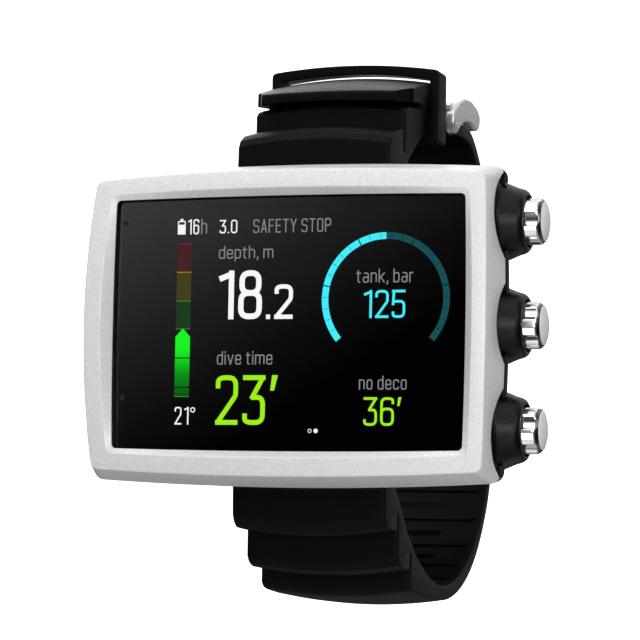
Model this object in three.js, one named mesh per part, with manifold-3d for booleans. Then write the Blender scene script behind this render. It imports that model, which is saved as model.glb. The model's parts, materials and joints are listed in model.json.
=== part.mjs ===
// A wrist dive computer: a wide display case with three side buttons on a hinged two-piece rubber strap.
//
// Frame, in millimetres: the origin is the centre of the case's flat back face. +X points to the buttons,
// +Y points from the case into the wrist, and +Z runs up the display. Depths below are distances behind
// the front of the glass, and at() turns one into a Y coordinate.
import * as THREE from "three";
import { mergeVertices } from "three/addons/utils/BufferGeometryUtils.js";
import Module from "manifold-3d";

const wasm = await Module();
wasm.setup();

// ---------------------------------------------------------------- driving dimensions
const CASE_DEPTH = 18; // from the front of the glass to the back face
const GAP = 0.3; // between large pieces that touch
const FIT = 0.15; // around pins, stems and other small pieces

const GLASS = { halfW: 34, halfH: 23.33, bowW: 0.31, bowH: 0.34, radius: 0.9, thickness: 1.6, lap: 0.6 };
const BEZEL = {
  lip: { halfW: 35, halfH: 24.33, bowW: 1.0, bowH: 0.58, radius: 1.1 },
  brow: { halfW: 37.55, halfH: 27.1, bowW: 1.0, bowH: 1.1, radius: 2 },
  base: { halfW: 39.4, halfH: 28.9, bowW: 0.9, bowH: 1.1, radius: 3.2 },
  crown: 4.96, // height of the front surface over the glass at the centre, if it went on there
  fallAcross: 0.00168, // how fast that surface falls with x squared
  fallAlong: 0.00375, // and with z squared
  skirtDepth: 4.6, // lower edge of the skirt at the middle of the sides
  skirtDrop: 1.8, // how much deeper that edge lies along the top and bottom
  wall: 1.1,
  step: 0.3,
};
const SEAT = { floor: 2.3, floorBack: 4.3 }; // where the glass and its gasket sit in the case
const CAVITY = { halfW: 35.6, halfH: 21.4, back: 12.2, rearHalfW: 33, rearHalfH: 20.4, rearBack: 13.8 };
const COVER = { halfW: 28.7, halfH: 19.7, radius: 4, front: 16.2, seat: 15.6, screwX: 25, screwZ: 16 };

const BUTTON = {
  pitch: 19.1, depth: 9.5,
  capRadius: 4.35, capBack: 41.3, capShoulder: 45.6, capRim: 46.45, capTop: 47.1, faceRadius: 3.7,
  flutes: 5, fluteRadius: 2.6, fluteDepth: 0.5,
  stemRadius: 1.0, stemInner: 33.6, pocketFloor: 39.0, rimTop: 43.4, mouth: 4.75,
};
const SCALLOP = { radius: 10.5, depth: 11.8, half: 8.3 }; // the bezel's relief around each button turret

const STRAP = {
  half: 15.2, thickness: 2.8, bow: 1.3, // the ribs bow outward by this much at the middle
  pinDepth: 14.6, pinZ: 26.5, pinRadius: 1.0, barrel: 2.4,
};
const LUG = { inner: 15.75, outer: 19.6, radius: 2.6, notchFront: 11.2, notchZ: 23.4 };
const KEEPER = { half: 17.4, band: 1.9, from: 39.2, to: 45, bottom: 38.9, top: 53.3, bow: 1.3, radius: 0.9 };
const BUCKLE = {
  pinDepth: 49.6, pinZ: 43.5, pinRadius: 0.8, barrel: 1.8, cheekInner: 16.3, cheekOuter: 18.4,
  guideDepth: 49.3, guideZ: 47.1, restDepth: 65, restZ: 47.9, barRadius: 1.0, tongueHalf: 5.6,
};
// The adjustment slots of the long strap.
const SLOT = { half: 7.2, height: 2, pitch: 8, count: 13, first: 20 };

const at = (depth) => depth - CASE_DEPTH;
const HALF_PI = Math.PI / 2;

// ---------------------------------------------------------------- materials
function finish(color, roughness, metalness = 0, extra = {}) {
  return new THREE.MeshStandardMaterial({ color, roughness, metalness, ...extra });
}
const WHITE_COAT = finish(0xdedee2, 0.42, 0.1);
const GLASS_CLEAR = finish(0x08080a, 0.06, 0, { transparent: true, opacity: 0.35 });
const BLACK_COMPOSITE = finish(0x1b1b1c, 0.55);
const BLACK_RUBBER = finish(0x1d1d1e, 0.6);
const CHROME = finish(0xd6d6d8, 0.12, 1);
const STEEL = finish(0xb4b4b6, 0.3, 1);
const SPRING_STEEL = finish(0x9a9a9c, 0.3, 1);
const SCREEN = finish(0x050506, 0.3);
const BOARD_GREEN = finish(0x1c5a33, 0.5);
const FOIL = finish(0xa9abad, 0.35, 0.8);
const DARK_PLASTIC = finish(0x2a2a2c, 0.5);
const FERRITE = finish(0x3a3837, 0.7);
const GOLD = finish(0xc9a24a, 0.3, 1);
const BRASS = finish(0xb08d4c, 0.35, 1);

// ---------------------------------------------------------------- shape helpers
// Turns a closed geometry into a solid that can be joined and cut.
function solid(geometry) {
  const bare = geometry.clone();
  bare.deleteAttribute("normal");
  bare.deleteAttribute("uv");
  const merged = mergeVertices(bare, 1e-4);
  return new wasm.Manifold(
    new wasm.Mesh({
      numProp: 3,
      vertProperties: merged.attributes.position.array,
      triVerts: new Uint32Array(merged.index.array),
    }),
  );
}

function geometryOf(manifold) {
  const mesh = manifold.getMesh();
  return new THREE.BufferGeometry()
    .setAttribute("position", new THREE.BufferAttribute(new Float32Array(mesh.vertProperties), 3))
    .setIndex(new THREE.BufferAttribute(new Uint32Array(mesh.triVerts), 1));
}

const joined = (first, ...rest) => rest.reduce((sum, next) => sum.add(next), first);
const cut = (body, ...tools) => tools.reduce((rest, tool) => rest.subtract(tool), body);

// Six times the volume inside a list of triangles; it is negative when they face inwards.
function signedVolume(points, triangles) {
  let sum = 0;
  for (const [a, b, c] of triangles) {
    sum += points[a].dot(new THREE.Vector3().crossVectors(points[b], points[c]));
  }
  return sum;
}

// A skin through rings of equal length. It is capped at both ends, or its last ring joins its first.
function loft(rings, flatten = null) {
  const size = rings[0].length;
  const points = rings.flat();
  const triangles = [];
  const bands = flatten ? rings.length - 1 : rings.length;
  for (let i = 0; i < bands; i++) {
    const next = (i + 1) % rings.length;
    for (let j = 0; j < size; j++) {
      const [a, b] = [i * size + j, i * size + ((j + 1) % size)];
      const [c, d] = [next * size + j, next * size + ((j + 1) % size)];
      triangles.push([a, b, d], [a, d, c]);
    }
  }
  if (flatten) {
    const cap = THREE.ShapeUtils.triangulateShape(rings[0].map(flatten), []);
    const last = (rings.length - 1) * size;
    const keepOrder = capMatchesBands(cap, size);
    for (const [a, b, c] of cap) {
      const [q, r] = keepOrder ? [b, c] : [c, b];
      triangles.push([a, q, r], [last + a, last + r, last + q]);
    }
  }
  if (signedVolume(points, triangles) < 0) triangles.forEach((face) => face.reverse());
  return new THREE.BufferGeometry()
    .setAttribute("position", new THREE.Float32BufferAttribute(points.flatMap((p) => [p.x, p.y, p.z]), 3))
    .setIndex(triangles.flat());
}

// Whether a cap's triangles run against the rim, as the first ring's cap must for the skin to close.
function capMatchesBands(cap, size) {
  const edges = cap.flatMap(([a, b, c]) => [[a, b], [b, c], [c, a]]);
  return edges.some(([from, to]) => from === (to + 1) % size);
}

// A rectangle whose sides bow outward, with rounded corners, as x and z pairs, counter-clockwise.
function barrel({ halfW, halfH, bowW, bowH, radius }) {
  const [sideSteps, cornerSteps] = [6, 3];
  const turns = [(u, v) => [u, v], (u, v) => [-v, u], (u, v) => [-u, -v], (u, v) => [v, -u]];
  const outline = [];
  turns.forEach((turned, quarter) => {
    const [away, along, bow] = quarter % 2 ? [halfH, halfW, bowH] : [halfW, halfH, bowW];
    const reach = along - radius;
    for (let i = 0; i <= sideSteps; i++) {
      const t = (2 * i) / sideSteps - 1;
      outline.push(turned(away + bow * (1 - t * t), t * reach));
    }
    for (let i = 1; i < cornerSteps; i++) {
      const angle = (i / cornerSteps) * HALF_PI;
      outline.push(turned(away - radius + radius * Math.cos(angle), reach + radius * Math.sin(angle)));
    }
  });
  return outline;
}

// The same outline grown by a margin on every side.
const grown = (outline, by) => ({ ...outline, halfW: outline.halfW + by, halfH: outline.halfH + by });

// A ring of points on an outline; depth is a number, or a function of x and z.
function rail(outline, depth) {
  const depthAt = typeof depth === "function" ? depth : () => depth;
  return barrel(outline).map(([x, z]) => new THREE.Vector3(x, at(depthAt(x, z)), z));
}

const flatXZ = (p) => new THREE.Vector2(p.x, p.z);
const flatYZ = (p) => new THREE.Vector2(p.y, p.z);
const slab = (outline, front, back) => loft([rail(outline, front), rail(outline, back)], flatXZ);

function block(x0, x1, depth0, depth1, z0, z1) {
  return new THREE.BoxGeometry(x1 - x0, depth1 - depth0, z1 - z0).translate(
    (x0 + x1) / 2, at((depth0 + depth1) / 2), (z0 + z1) / 2,
  );
}

// A round bar from one depth to another, at x and z.
function postY(radius, depth0, depth1, x, z, sides = 20) {
  const middle = at((depth0 + depth1) / 2);
  return new THREE.CylinderGeometry(radius, radius, depth1 - depth0, sides).translate(x, middle, z);
}

// A round bar along X, at a depth and z.
function barX(radius, x0, x1, depth, z, sides = 16) {
  return new THREE.CylinderGeometry(radius, radius, x1 - x0, sides)
    .rotateZ(-HALF_PI)
    .translate((x0 + x1) / 2, at(depth), z);
}

// A body turned about a line along X: its profile is a list of radius and x pairs from axis to axis.
function turnedX(profile, depth, z, sides) {
  const points = profile.map(([radius, x]) => new THREE.Vector2(radius, x));
  return new THREE.LatheGeometry(points, sides).rotateZ(-HALF_PI).translate(0, at(depth), z);
}

// A side profile of depth and z pairs, drawn out along X between two ends.
function platesX(profile, x0, x1) {
  const ring = (x) => profile.map(([depth, z]) => new THREE.Vector3(x, at(depth), z));
  return loft([ring(x0), ring(x1)], flatYZ);
}

// A round-cornered plate across Y.
function plate(halfW, halfH, radius, front, back) {
  return slab({ halfW, halfH, bowW: 0, bowH: 0, radius }, front, back);
}

// Points on an arc in the side view; angles in degrees, from the wrist direction towards +Z.
function arc(depth, z, radius, from, to, steps) {
  return Array.from({ length: steps + 1 }, (_, i) => {
    const angle = THREE.MathUtils.degToRad(from + ((to - from) * i) / steps);
    return [depth + radius * Math.cos(angle), z + radius * Math.sin(angle)];
  });
}

// ---------------------------------------------------------------- case, bezel and glass
const crownDepth = (x, z) => -(BEZEL.crown - BEZEL.fallAcross * x * x - BEZEL.fallAlong * z * z);
function skirtEdge(x, z) {
  const t = THREE.MathUtils.clamp((Math.abs(z) - 22) / 6, 0, 1);
  return BEZEL.skirtDepth + BEZEL.skirtDrop * t * t * (3 - 2 * t);
}
const buttonHeights = [BUTTON.pitch, 0, -BUTTON.pitch];

function makeBezel() {
  const skirtTop = { ...BEZEL.brow, halfW: BEZEL.brow.halfW - 0.95, halfH: BEZEL.brow.halfH - 0.9 };
  const ring = solid(
    loft([
      rail(GLASS, -GAP),
      rail(GLASS, -GAP - BEZEL.step),
      rail(BEZEL.lip, crownDepth),
      rail(BEZEL.brow, crownDepth),
      rail(BEZEL.base, skirtEdge),
      rail(grown(BEZEL.base, -BEZEL.wall), skirtEdge),
      rail(skirtTop, -GAP),
    ]),
  );
  const reliefs = buttonHeights.map((z) => solid(barX(SCALLOP.radius, 36.9, 45, SCALLOP.depth, z, 48)));
  return geometryOf(cut(ring, ...reliefs));
}

// The button turret: a foot that fills the bezel's relief, a cone and a rounded rim.
function turret(z) {
  const profile = [
    [0, 34], [7.6, 34], [7.6, 38.9], [7.05, 39.5], [6.2, 41.6], [5.95, 42.4], [5.5, 43.1],
    [5.1, BUTTON.rimTop], [0, BUTTON.rimTop],
  ];
  const footRadius = SCALLOP.radius - GAP;
  const spread = THREE.MathUtils.radToDeg(Math.asin(SCALLOP.half / footRadius));
  const foot = platesX(arc(SCALLOP.depth, z, footRadius, 180 - spread, 180 + spread, 12), 37.2, 38.9);
  return joined(solid(turnedX(profile, BUTTON.depth, z, 24)), solid(foot));
}

function buttonBores(z) {
  const { depth, mouth, pocketFloor, stemRadius } = BUTTON;
  const pocket = [
    [0, pocketFloor], [mouth, pocketFloor], [mouth, 42.8], [mouth + 0.25, 44], [0, 44],
  ];
  return [
    solid(turnedX(pocket, depth, z, 24)),
    solid(barX(stemRadius + FIT, 34, 40, depth, z, 12)),
    solid(barX(2.3, 37.8, 40, depth, z)),
  ];
}

function lugs(side) {
  const z = side * STRAP.pinZ;
  return [-1, 1].flatMap((end) => {
    const [x0, x1] = [end * LUG.inner, end * LUG.outer].sort((a, b) => a - b);
    const root = side > 0 ? [20.6, z] : [z, -20.6];
    return [
      solid(barX(LUG.radius, x0, x1, STRAP.pinDepth, z, 24)),
      solid(block(x0, x1, STRAP.pinDepth - LUG.radius, STRAP.pinDepth + LUG.radius, ...root)),
    ];
  });
}

function makeCase() {
  const outline = (halfW, halfH, radius) => ({ halfW, halfH, bowW: 0.9, bowH: 1.1, radius });
  const belowSkirt = (by) => (x, z) => skirtEdge(x, z) + by;
  const shell = solid(
    loft(
      [
        rail(outline(36.2, 25.8, 2), 0),
        rail(outline(37.8, 27.45, 2.9), belowSkirt(GAP)),
        rail(outline(40, 28.9, 3.4), belowSkirt(GAP)),
        rail(outline(40, 28.9, 3.4), belowSkirt(0.9)),
        rail(outline(38.5, 27.9, 4), 10),
        rail(outline(36.4, 26.5, 5), 14),
        rail(outline(34, 24.8, 6), 17),
        rail(outline(32.8, 23.8, 6), CASE_DEPTH),
      ],
      flatXZ,
    ),
  );
  const hollows = [
    slab(grown(GLASS, GLASS.lap + GAP), -1, SEAT.floor),
    slab(grown(GLASS, -1), -1, SEAT.floorBack + 0.1),
    plate(CAVITY.halfW, CAVITY.halfH, 0.4, SEAT.floorBack, CAVITY.back),
    plate(CAVITY.rearHalfW, CAVITY.rearHalfH, 2, CAVITY.back - 0.1, CAVITY.rearBack),
    block(-21.5, 21.5, 13, 19, -18, 18),
    block(-27, 27, 13, 19, -12.5, 12.5),
    plate(COVER.halfW + GAP, COVER.halfH + GAP, COVER.radius, COVER.seat, CASE_DEPTH + 1),
    ...screwPlaces().map(([x, z]) => postY(0.9 + FIT, 13, 17, x, z, 12)),
  ].map(solid);
  const notches = [1, -1].map((side) => {
    const [z0, z1] = side > 0 ? [LUG.notchZ, 34] : [-34, -LUG.notchZ];
    return solid(block(-LUG.inner, LUG.inner, LUG.notchFront, CASE_DEPTH + 2, z0, z1));
  });
  const pinHoles = [1, -1].map((side) =>
    solid(barX(STRAP.pinRadius + FIT, -LUG.outer - 0.1, LUG.outer + 0.1, STRAP.pinDepth, side * STRAP.pinZ)),
  );
  const outer = cut(joined(shell, ...buttonHeights.map(turret)), ...hollows, ...notches);
  const withLugs = joined(outer, ...lugs(1), ...lugs(-1));
  return geometryOf(cut(withLugs, ...pinHoles, ...buttonHeights.flatMap(buttonBores)));
}

function makeGasket() {
  const [outer, inner] = [grown(GLASS, GLASS.lap - 0.1), grown(GLASS, -0.85)];
  const [front, back] = [GLASS.thickness + FIT, SEAT.floor - FIT];
  return loft([rail(outer, front), rail(outer, back), rail(inner, back), rail(inner, front)]);
}

// ---------------------------------------------------------------- inside the case
function screwPlaces() {
  return [1, -1].flatMap((sx) => [1, -1].map((sz) => [sx * COVER.screwX, sz * COVER.screwZ]));
}
const contactPlaces = [-5, 0, 5].map((x) => [x, 12]);
const SENSOR = { x: 13, z: -8, radius: 4.5, grilleRadius: 5.2 };

function makeBackCover() {
  const holes = [
    postY(SENSOR.radius + FIT, 15, 19, SENSOR.x, SENSOR.z, 28),
    postY(SENSOR.grilleRadius + FIT, 17, 19, SENSOR.x, SENSOR.z, 28),
    ...screwPlaces().map(([x, z]) => postY(0.9 + FIT, 15, 19, x, z, 12)),
    ...screwPlaces().map(([x, z]) => postY(1.9 + FIT, 17, 19, x, z, 16)),
    ...contactPlaces.map(([x, z]) => postY(1.1 + FIT, 15, 19, x, z, 16)),
  ].map(solid);
  const lid = solid(plate(COVER.halfW, COVER.halfH, COVER.radius, COVER.front, CASE_DEPTH));
  return geometryOf(cut(lid, ...holes));
}

function makeCoverGasket() {
  const outline = { halfW: COVER.halfW - 0.3, halfH: COVER.halfH - 0.3, bowW: 0, bowH: 0, radius: 3.6 };
  const inner = grown(outline, -1.1);
  const [front, back] = [COVER.seat + 0.1, COVER.front - 0.1];
  return loft([rail(outline, front), rail(outline, back), rail(inner, back), rail(inner, front)]);
}

function makeScrew(x, z) {
  const shank = solid(postY(0.9, 14, 17.6, x, z, 12));
  const head = solid(postY(1.9, 17.1, 17.9, x, z, 16));
  const slots = [0, HALF_PI].map((turn) =>
    solid(new THREE.BoxGeometry(2.4, 1, 0.5).rotateY(turn).translate(x, at(18.1), z)),
  );
  return geometryOf(cut(joined(head, shank), ...slots));
}

function makeSensorGrille() {
  const disc = solid(postY(SENSOR.grilleRadius, 17.15, 17.95, SENSOR.x, SENSOR.z, 28));
  const holes = Array.from({ length: 6 }, (_, i) => {
    const angle = (i / 6) * 2 * Math.PI;
    const [x, z] = [SENSOR.x + 2.9 * Math.cos(angle), SENSOR.z + 2.9 * Math.sin(angle)];
    return solid(postY(0.6, 16, 19, x, z, 10));
  });
  return geometryOf(cut(disc, ...holes));
}

function makeBoard() {
  const sheet = solid(plate(34.6, 20.8, 1.5, 5.9, 6.9));
  const notch = solid(block(-4, 4, 5, 8, 18.6, 22));
  return geometryOf(cut(sheet, notch));
}

function makeShieldCan() {
  const can = solid(block(19.5, 28.3, 7.1, 9.4, -13, 13));
  return geometryOf(cut(can, solid(block(20, 27.8, 7, 9, -12.5, 12.5))));
}

function makeDisplayFrame() {
  const tray = solid(plate(34.4, 21, 1.5, 4.4, 5.2));
  const windows = [-16, 0, 16].map((x) => solid(block(x - 5, x + 5, 4, 6, -12, 12)));
  return geometryOf(cut(tray, ...windows));
}

// ---------------------------------------------------------------- buttons
function makeCap(z, turn) {
  const { depth, capRadius, capBack, capShoulder, capRim, capTop, faceRadius } = BUTTON;
  const profile = [
    [0, capBack], [capRadius, capBack], [capRadius, capShoulder], [4.15, 46.15], [faceRadius, capRim],
    [2.2, capTop - 0.15], [0, capTop],
  ];
  const flutes = Array.from({ length: BUTTON.flutes }, (_, i) => {
    const angle = turn + (i / BUTTON.flutes) * 2 * Math.PI;
    const reach = capRadius + BUTTON.fluteRadius - BUTTON.fluteDepth;
    return solid(barX(
      BUTTON.fluteRadius, capBack - 1, capShoulder + 0.55, depth - reach * Math.cos(angle),
      z + reach * Math.sin(angle), 16,
    ));
  });
  const socket = solid(barX(BUTTON.stemRadius + FIT, capBack - 1, 44, depth, z));
  return geometryOf(cut(solid(turnedX(profile, depth, z, 30)), ...flutes, socket));
}

const makeStem = (z) => barX(BUTTON.stemRadius, BUTTON.stemInner, 43.8, BUTTON.depth, z, 12);

function makeClip(z) {
  const clip = solid(barX(2.1, 34.7, 35.3, BUTTON.depth, z, 12));
  return geometryOf(cut(clip, solid(barX(BUTTON.stemRadius + 0.1, 34, 36, BUTTON.depth, z, 12))));
}

function makeSeal(z) {
  return new THREE.TorusGeometry(1.68, 0.45, 6, 14).rotateY(HALF_PI).translate(38.4, at(BUTTON.depth), z);
}

class Helix extends THREE.Curve {
  constructor(radius, from, to, turns) {
    super();
    Object.assign(this, { radius, from, to, turns });
  }
  getPoint(t) {
    const angle = t * this.turns * 2 * Math.PI;
    const x = this.from + (this.to - this.from) * t;
    return new THREE.Vector3(x, this.radius * Math.cos(angle), this.radius * Math.sin(angle));
  }
}

function roundSection(radius, sides) {
  const points = Array.from({ length: sides }, (_, i) => {
    const angle = (i / sides) * 2 * Math.PI;
    return new THREE.Vector2(radius * Math.cos(angle), radius * Math.sin(angle));
  });
  return new THREE.Shape(points);
}

function makeSpring(z) {
  const wire = 0.25;
  const path = new Helix(3.1, BUTTON.pocketFloor + wire + FIT, BUTTON.capBack - wire - FIT, 2.5);
  return new THREE.ExtrudeGeometry(roundSection(wire, 6), { steps: 36, extrudePath: path }).translate(
    0, at(BUTTON.depth), z,
  );
}

function makeSwitch(z) {
  const housing = solid(block(28.9, 31.6, 7.2, 11.6, z - 2.2, z + 2.2));
  return geometryOf(joined(housing, solid(barX(1, 31.3, 32.2, BUTTON.depth, z, 12))));
}

// ---------------------------------------------------------------- strap
// The stations across the strap; its outer ribs bow outward between its edges.
const acrossStrap = [-1, -0.86, -0.6, -0.3, 0, 0.3, 0.6, 0.86, 1].map((t) => t * STRAP.half);
const bowAt = (x) => STRAP.bow * (1 - (x / STRAP.half) ** 2);

// Draws a side profile across the strap. Each point is [depth, z, bow share, width share]; side is +1 or -1.
function strapBody(profile, side) {
  const rings = acrossStrap.map((x) =>
    profile.map(([depth, z, share = 0, width = 1]) =>
      new THREE.Vector3(x * width, at(depth), side * (z + share * bowAt(x))),
    ),
  );
  return solid(loft(rings, flatYZ));
}

const hingeBarrel = () => arc(STRAP.pinDepth, STRAP.pinZ, STRAP.barrel, -30, -240, 7);
const pinBore = (side) => solid(barX(STRAP.pinRadius + FIT, -17, 17, STRAP.pinDepth, side * STRAP.pinZ));

function makeUpperStrap() {
  const { pinDepth, pinZ, barrel: eye } = BUCKLE;
  const profile = [
    ...hingeBarrel(),
    [13.8, 30.4, 0.2], [14, 35, 1], [14.8, 36.3, 1], [16.6, 37.4, 1], [22.9, 39, 1], // first rib
    [23, 34.6], [23.9, 34.6], // groove
    [24, 42.5, 1], [24.9, 43.3, 1], [27.3, 44, 1], [33.2, 44.5, 1], // second rib
    [33.2, 45.3, 1], [26, 44.6, 0.9], [22.1, 44.1, 0.45, 0.9], // third rib, an overhanging lip
    [22.1, 46.2, 0.35, 0.9], [25.5, 47.1, 0.7, 0.98], [31.2, 48.7, 1], [38.3, 50.5, 1], [38.9, 50, 1],
    [38.9, 44.9], [40.5, 44.2], [47.3, 44.1],
    ...arc(pinDepth, pinZ, eye, 150, -140, 9),
    [47, 41], [40, 40.9], [33, 37.8], [27, 33.6], [22, 29.6], [18.6, 26.8],
  ];
  const eyeBore = solid(barX(BUCKLE.pinRadius + FIT, -17, 17, pinDepth, pinZ));
  const tongueSlot = solid(block(-BUCKLE.tongueHalf - 0.5, BUCKLE.tongueHalf + 0.5, 46.9, 53, 39, 47));
  return geometryOf(cut(strapBody(profile, 1), pinBore(1), eyeBore, tongueSlot));
}

// The outer line of the long strap behind its ribs: under the wrist, round the back and up to the buckle.
function longRun() {
  const route = [
    [50, 50.4], [60, 50.5], [69.9, 48.1], [79, 43.2], [86.1, 36.5], [91.6, 28], [95, 12], [95, -6], [91.6, -22],
    [86.5, -33], [80.4, -40], [73, -45.3], [66, -46.3], [60, -46], [54.4, -45],
  ];
  const points = route.map(([depth, z]) => new THREE.Vector3(0, depth, z));
  return new THREE.CatmullRomCurve3(points, false, "centripetal");
}

// A point and the inward normal on the long run, at a share of its length.
function onRun(run, t) {
  const [point, along] = [run.getPointAt(t), run.getTangentAt(t)];
  return { depth: point.y, z: point.z, inDepth: along.z, inZ: -along.y };
}

function makeLowerStrap() {
  const run = longRun();
  const steps = 30;
  const stations = Array.from({ length: steps + 1 }, (_, i) => onRun(run, i / steps));
  const crownShare = (s) => (s.z > 0 ? THREE.MathUtils.smoothstep(76 - s.depth, 0, 18) : 0);
  const outer = stations.map((s) => [s.depth, s.z, crownShare(s)]);
  const inner = stations.map((s) => [s.depth + s.inDepth * STRAP.thickness, s.z + s.inZ * STRAP.thickness]);
  const profile = [
    ...hingeBarrel(),
    [14.6, 30.2, 0.2], [14.8, 35.2, 1], [15.6, 36.6, 1], [16.9, 37.6, 1], [22.7, 38, 1], // first rib
    [22.8, 34.8], [23.5, 34.8], // groove
    [23.6, 43, 1], [24.6, 44.3, 1], [26.4, 45, 1], [31.4, 45.3, 1], // second rib
    [31.6, 42.2], [32.2, 42.2], // groove
    [32.3, 47.9, 1], [33.4, 48.8, 1], [35.3, 49.1, 1], [42, 49.8, 0.7], // third rib
    ...outer,
    ...inner.reverse().slice(0, -1),
    [44, 46], [36, 42.3], [29, 37], [23, 31], [18.6, 26.8],
  ];
  const length = run.getLength();
  const slots = Array.from({ length: SLOT.count }, (_, i) => {
    const s = onRun(run, (SLOT.first + i * SLOT.pitch) / length);
    const tilt = Math.atan2(s.inZ, s.inDepth);
    const [depth, z] = [s.depth + s.inDepth * STRAP.thickness / 2, s.z + s.inZ * STRAP.thickness / 2];
    const opening = new THREE.BoxGeometry(2 * SLOT.half, 3 * STRAP.thickness, SLOT.height).rotateX(-tilt);
    return solid(opening.translate(0, at(depth), -z));
  });
  return geometryOf(cut(strapBody(profile, -1), pinBore(-1), ...slots));
}

function makeKeeper() {
  const outline = (half, bottom, top, radius, bow) => {
    const [right, high] = [half - radius, top - radius];
    return new THREE.Shape()
      .moveTo(-right, bottom)
      .lineTo(right, bottom)
      .quadraticCurveTo(half, bottom, half, bottom + radius)
      .lineTo(half, high)
      .quadraticCurveTo(half, top, right, top)
      .quadraticCurveTo(0, top + 2 * bow, -right, top)
      .quadraticCurveTo(-half, top, -half, high)
      .lineTo(-half, bottom + radius)
      .quadraticCurveTo(-half, bottom, -right, bottom);
  };
  const { half, band, bottom, top, radius, bow } = KEEPER;
  const loop = (shape) => shape.getPoints(6).slice(0, -1);
  const ring = (shape, depth) => loop(shape).map((p) => new THREE.Vector3(p.x, at(depth), p.y));
  const outer = outline(half, bottom, top, radius, bow);
  const inner = outline(half - band, bottom + 1.5, top - band, 1, bow);
  const body = solid(loft([ring(outer, KEEPER.from), ring(outer, KEEPER.to)], flatXZ));
  const opening = solid(loft([ring(inner, KEEPER.from - 1), ring(inner, KEEPER.to + 1)], flatXZ));
  return geometryOf(cut(body, opening));
}

// ---------------------------------------------------------------- buckle
function makeBuckleFrame() {
  const { cheekInner, cheekOuter, barRadius, guideDepth, guideZ, restDepth, restZ } = BUCKLE;
  const cheek = [
    [48.9, 41.9], [48, 43.6], [47.7, 45.4], [49, 46.9], [52.2, 48.7], [56.3, 50], [61, 50.2],
    [65.2, 49.4], [67.6, 48.2], [67.6, 46.4], [66.6, 45], [64.7, 44.5], [62, 45.2], [59.4, 45.5],
    [56.6, 45.2], [53.8, 44.4], [51.6, 43.1], [50.3, 42],
  ];
  const cheeks = [[cheekInner, cheekOuter], [-cheekOuter, -cheekInner]].map(([x0, x1]) =>
    solid(platesX(cheek, x0, x1)),
  );
  const bars = [
    barX(barRadius, -cheekInner - 1, cheekInner + 1, guideDepth, guideZ),
    barX(barRadius, -cheekInner - 1, cheekInner + 1, restDepth, restZ),
  ].map(solid);
  const bore = solid(barX(BUCKLE.pinRadius + FIT, -20, 20, BUCKLE.pinDepth, BUCKLE.pinZ));
  return geometryOf(cut(joined(...cheeks, ...bars), bore));
}

function makeTongue() {
  const { pinDepth, pinZ, tongueHalf } = BUCKLE;
  const arm = [
    [50, 44], [53.4, 46.2], [63, 49], [65, 49.15], [67, 49], [67.4, 49.4], [66.6, 50], [62.8, 50.1],
    [52.6, 47.2], [49.6, 45],
  ];
  const eye = solid(barX(1.5, -tongueHalf, tongueHalf, pinDepth, pinZ));
  const blade = solid(platesX(arm, -tongueHalf, tongueHalf));
  const bore = solid(barX(BUCKLE.pinRadius + FIT, -7, 7, pinDepth, pinZ));
  return geometryOf(cut(joined(eye, blade), bore));
}

// ---------------------------------------------------------------- assembly
const group = new THREE.Group();
function add(name, geometry, material) {
  const mesh = new THREE.Mesh(geometry, material);
  mesh.name = name;
  group.add(mesh);
}

add("bezel", makeBezel(), WHITE_COAT);
add("display_glass", slab(grown(GLASS, GLASS.lap), 0, GLASS.thickness), GLASS_CLEAR);
add("glass_gasket", makeGasket(), BLACK_RUBBER);
add("case_body", makeCase(), BLACK_COMPOSITE);

add("lcd_panel", plate(30.2, 21.6, 0.8, 1.9, 3.9), SCREEN);
[["upper", 17.6], ["lower", -15]].forEach(([which, z]) =>
  add("light_sensor_" + which, postY(0.8, 1.9, 3, -31.6, z, 14), DARK_PLASTIC),
);
add("display_frame", makeDisplayFrame(), FOIL);
add("circuit_board", makeBoard(), BOARD_GREEN);
add("shield_can", makeShieldCan(), FOIL);
add("battery", block(-20, 18.5, 7.6, 12.9, -16, 16), FOIL);
add("buzzer", postY(6, 7.2, 8.8, -28, 2, 24), BRASS);
add("vibration_motor", barX(2.1, -32, -22, 11.4, -13, 18), STEEL);
add("link_antenna", block(-34, -22, 8, 11, 13.5, 17), FERRITE);
add("pressure_sensor", postY(SENSOR.radius, 13.4, 16.95, SENSOR.x, SENSOR.z, 24), STEEL);
add("sensor_grille", makeSensorGrille(), BLACK_COMPOSITE);
add("back_cover", makeBackCover(), BLACK_COMPOSITE);
add("cover_gasket", makeCoverGasket(), BLACK_RUBBER);
screwPlaces().forEach(([x, z], i) => add("cover_screw_" + (i + 1), makeScrew(x, z), STEEL));
contactPlaces.forEach(([x, z], i) =>
  add("charge_contact_" + (i + 1), postY(1.1, 15.8, 17.9, x, z, 14), GOLD),
);

const capTurns = [0, -0.79, 0.28];
buttonHeights.forEach((z, i) => {
  const number = i + 1;
  add("button_cap_" + number, makeCap(z, capTurns[i]), CHROME);
  add("button_stem_" + number, makeStem(z), STEEL);
  add("button_clip_" + number, makeClip(z), SPRING_STEEL);
  add("button_seal_" + number, makeSeal(z), BLACK_RUBBER);
  add("button_spring_" + number, makeSpring(z), SPRING_STEEL);
  add("button_switch_" + number, makeSwitch(z), DARK_PLASTIC);
});

const pinEnd = LUG.outer - 0.2;
[["upper", 1], ["lower", -1]].forEach(([which, side]) =>
  add("strap_pin_" + which, barX(STRAP.pinRadius, -pinEnd, pinEnd, STRAP.pinDepth, side * STRAP.pinZ), STEEL),
);
add("upper_strap", makeUpperStrap(), BLACK_RUBBER);
add("lower_strap", makeLowerStrap(), BLACK_RUBBER);
add("strap_keeper", makeKeeper(), BLACK_RUBBER);
add("buckle_frame", makeBuckleFrame(), STEEL);
add("buckle_pin", barX(BUCKLE.pinRadius, -18.6, 18.6, BUCKLE.pinDepth, BUCKLE.pinZ), STEEL);
add("buckle_tongue", makeTongue(), STEEL);

export default group;
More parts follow.
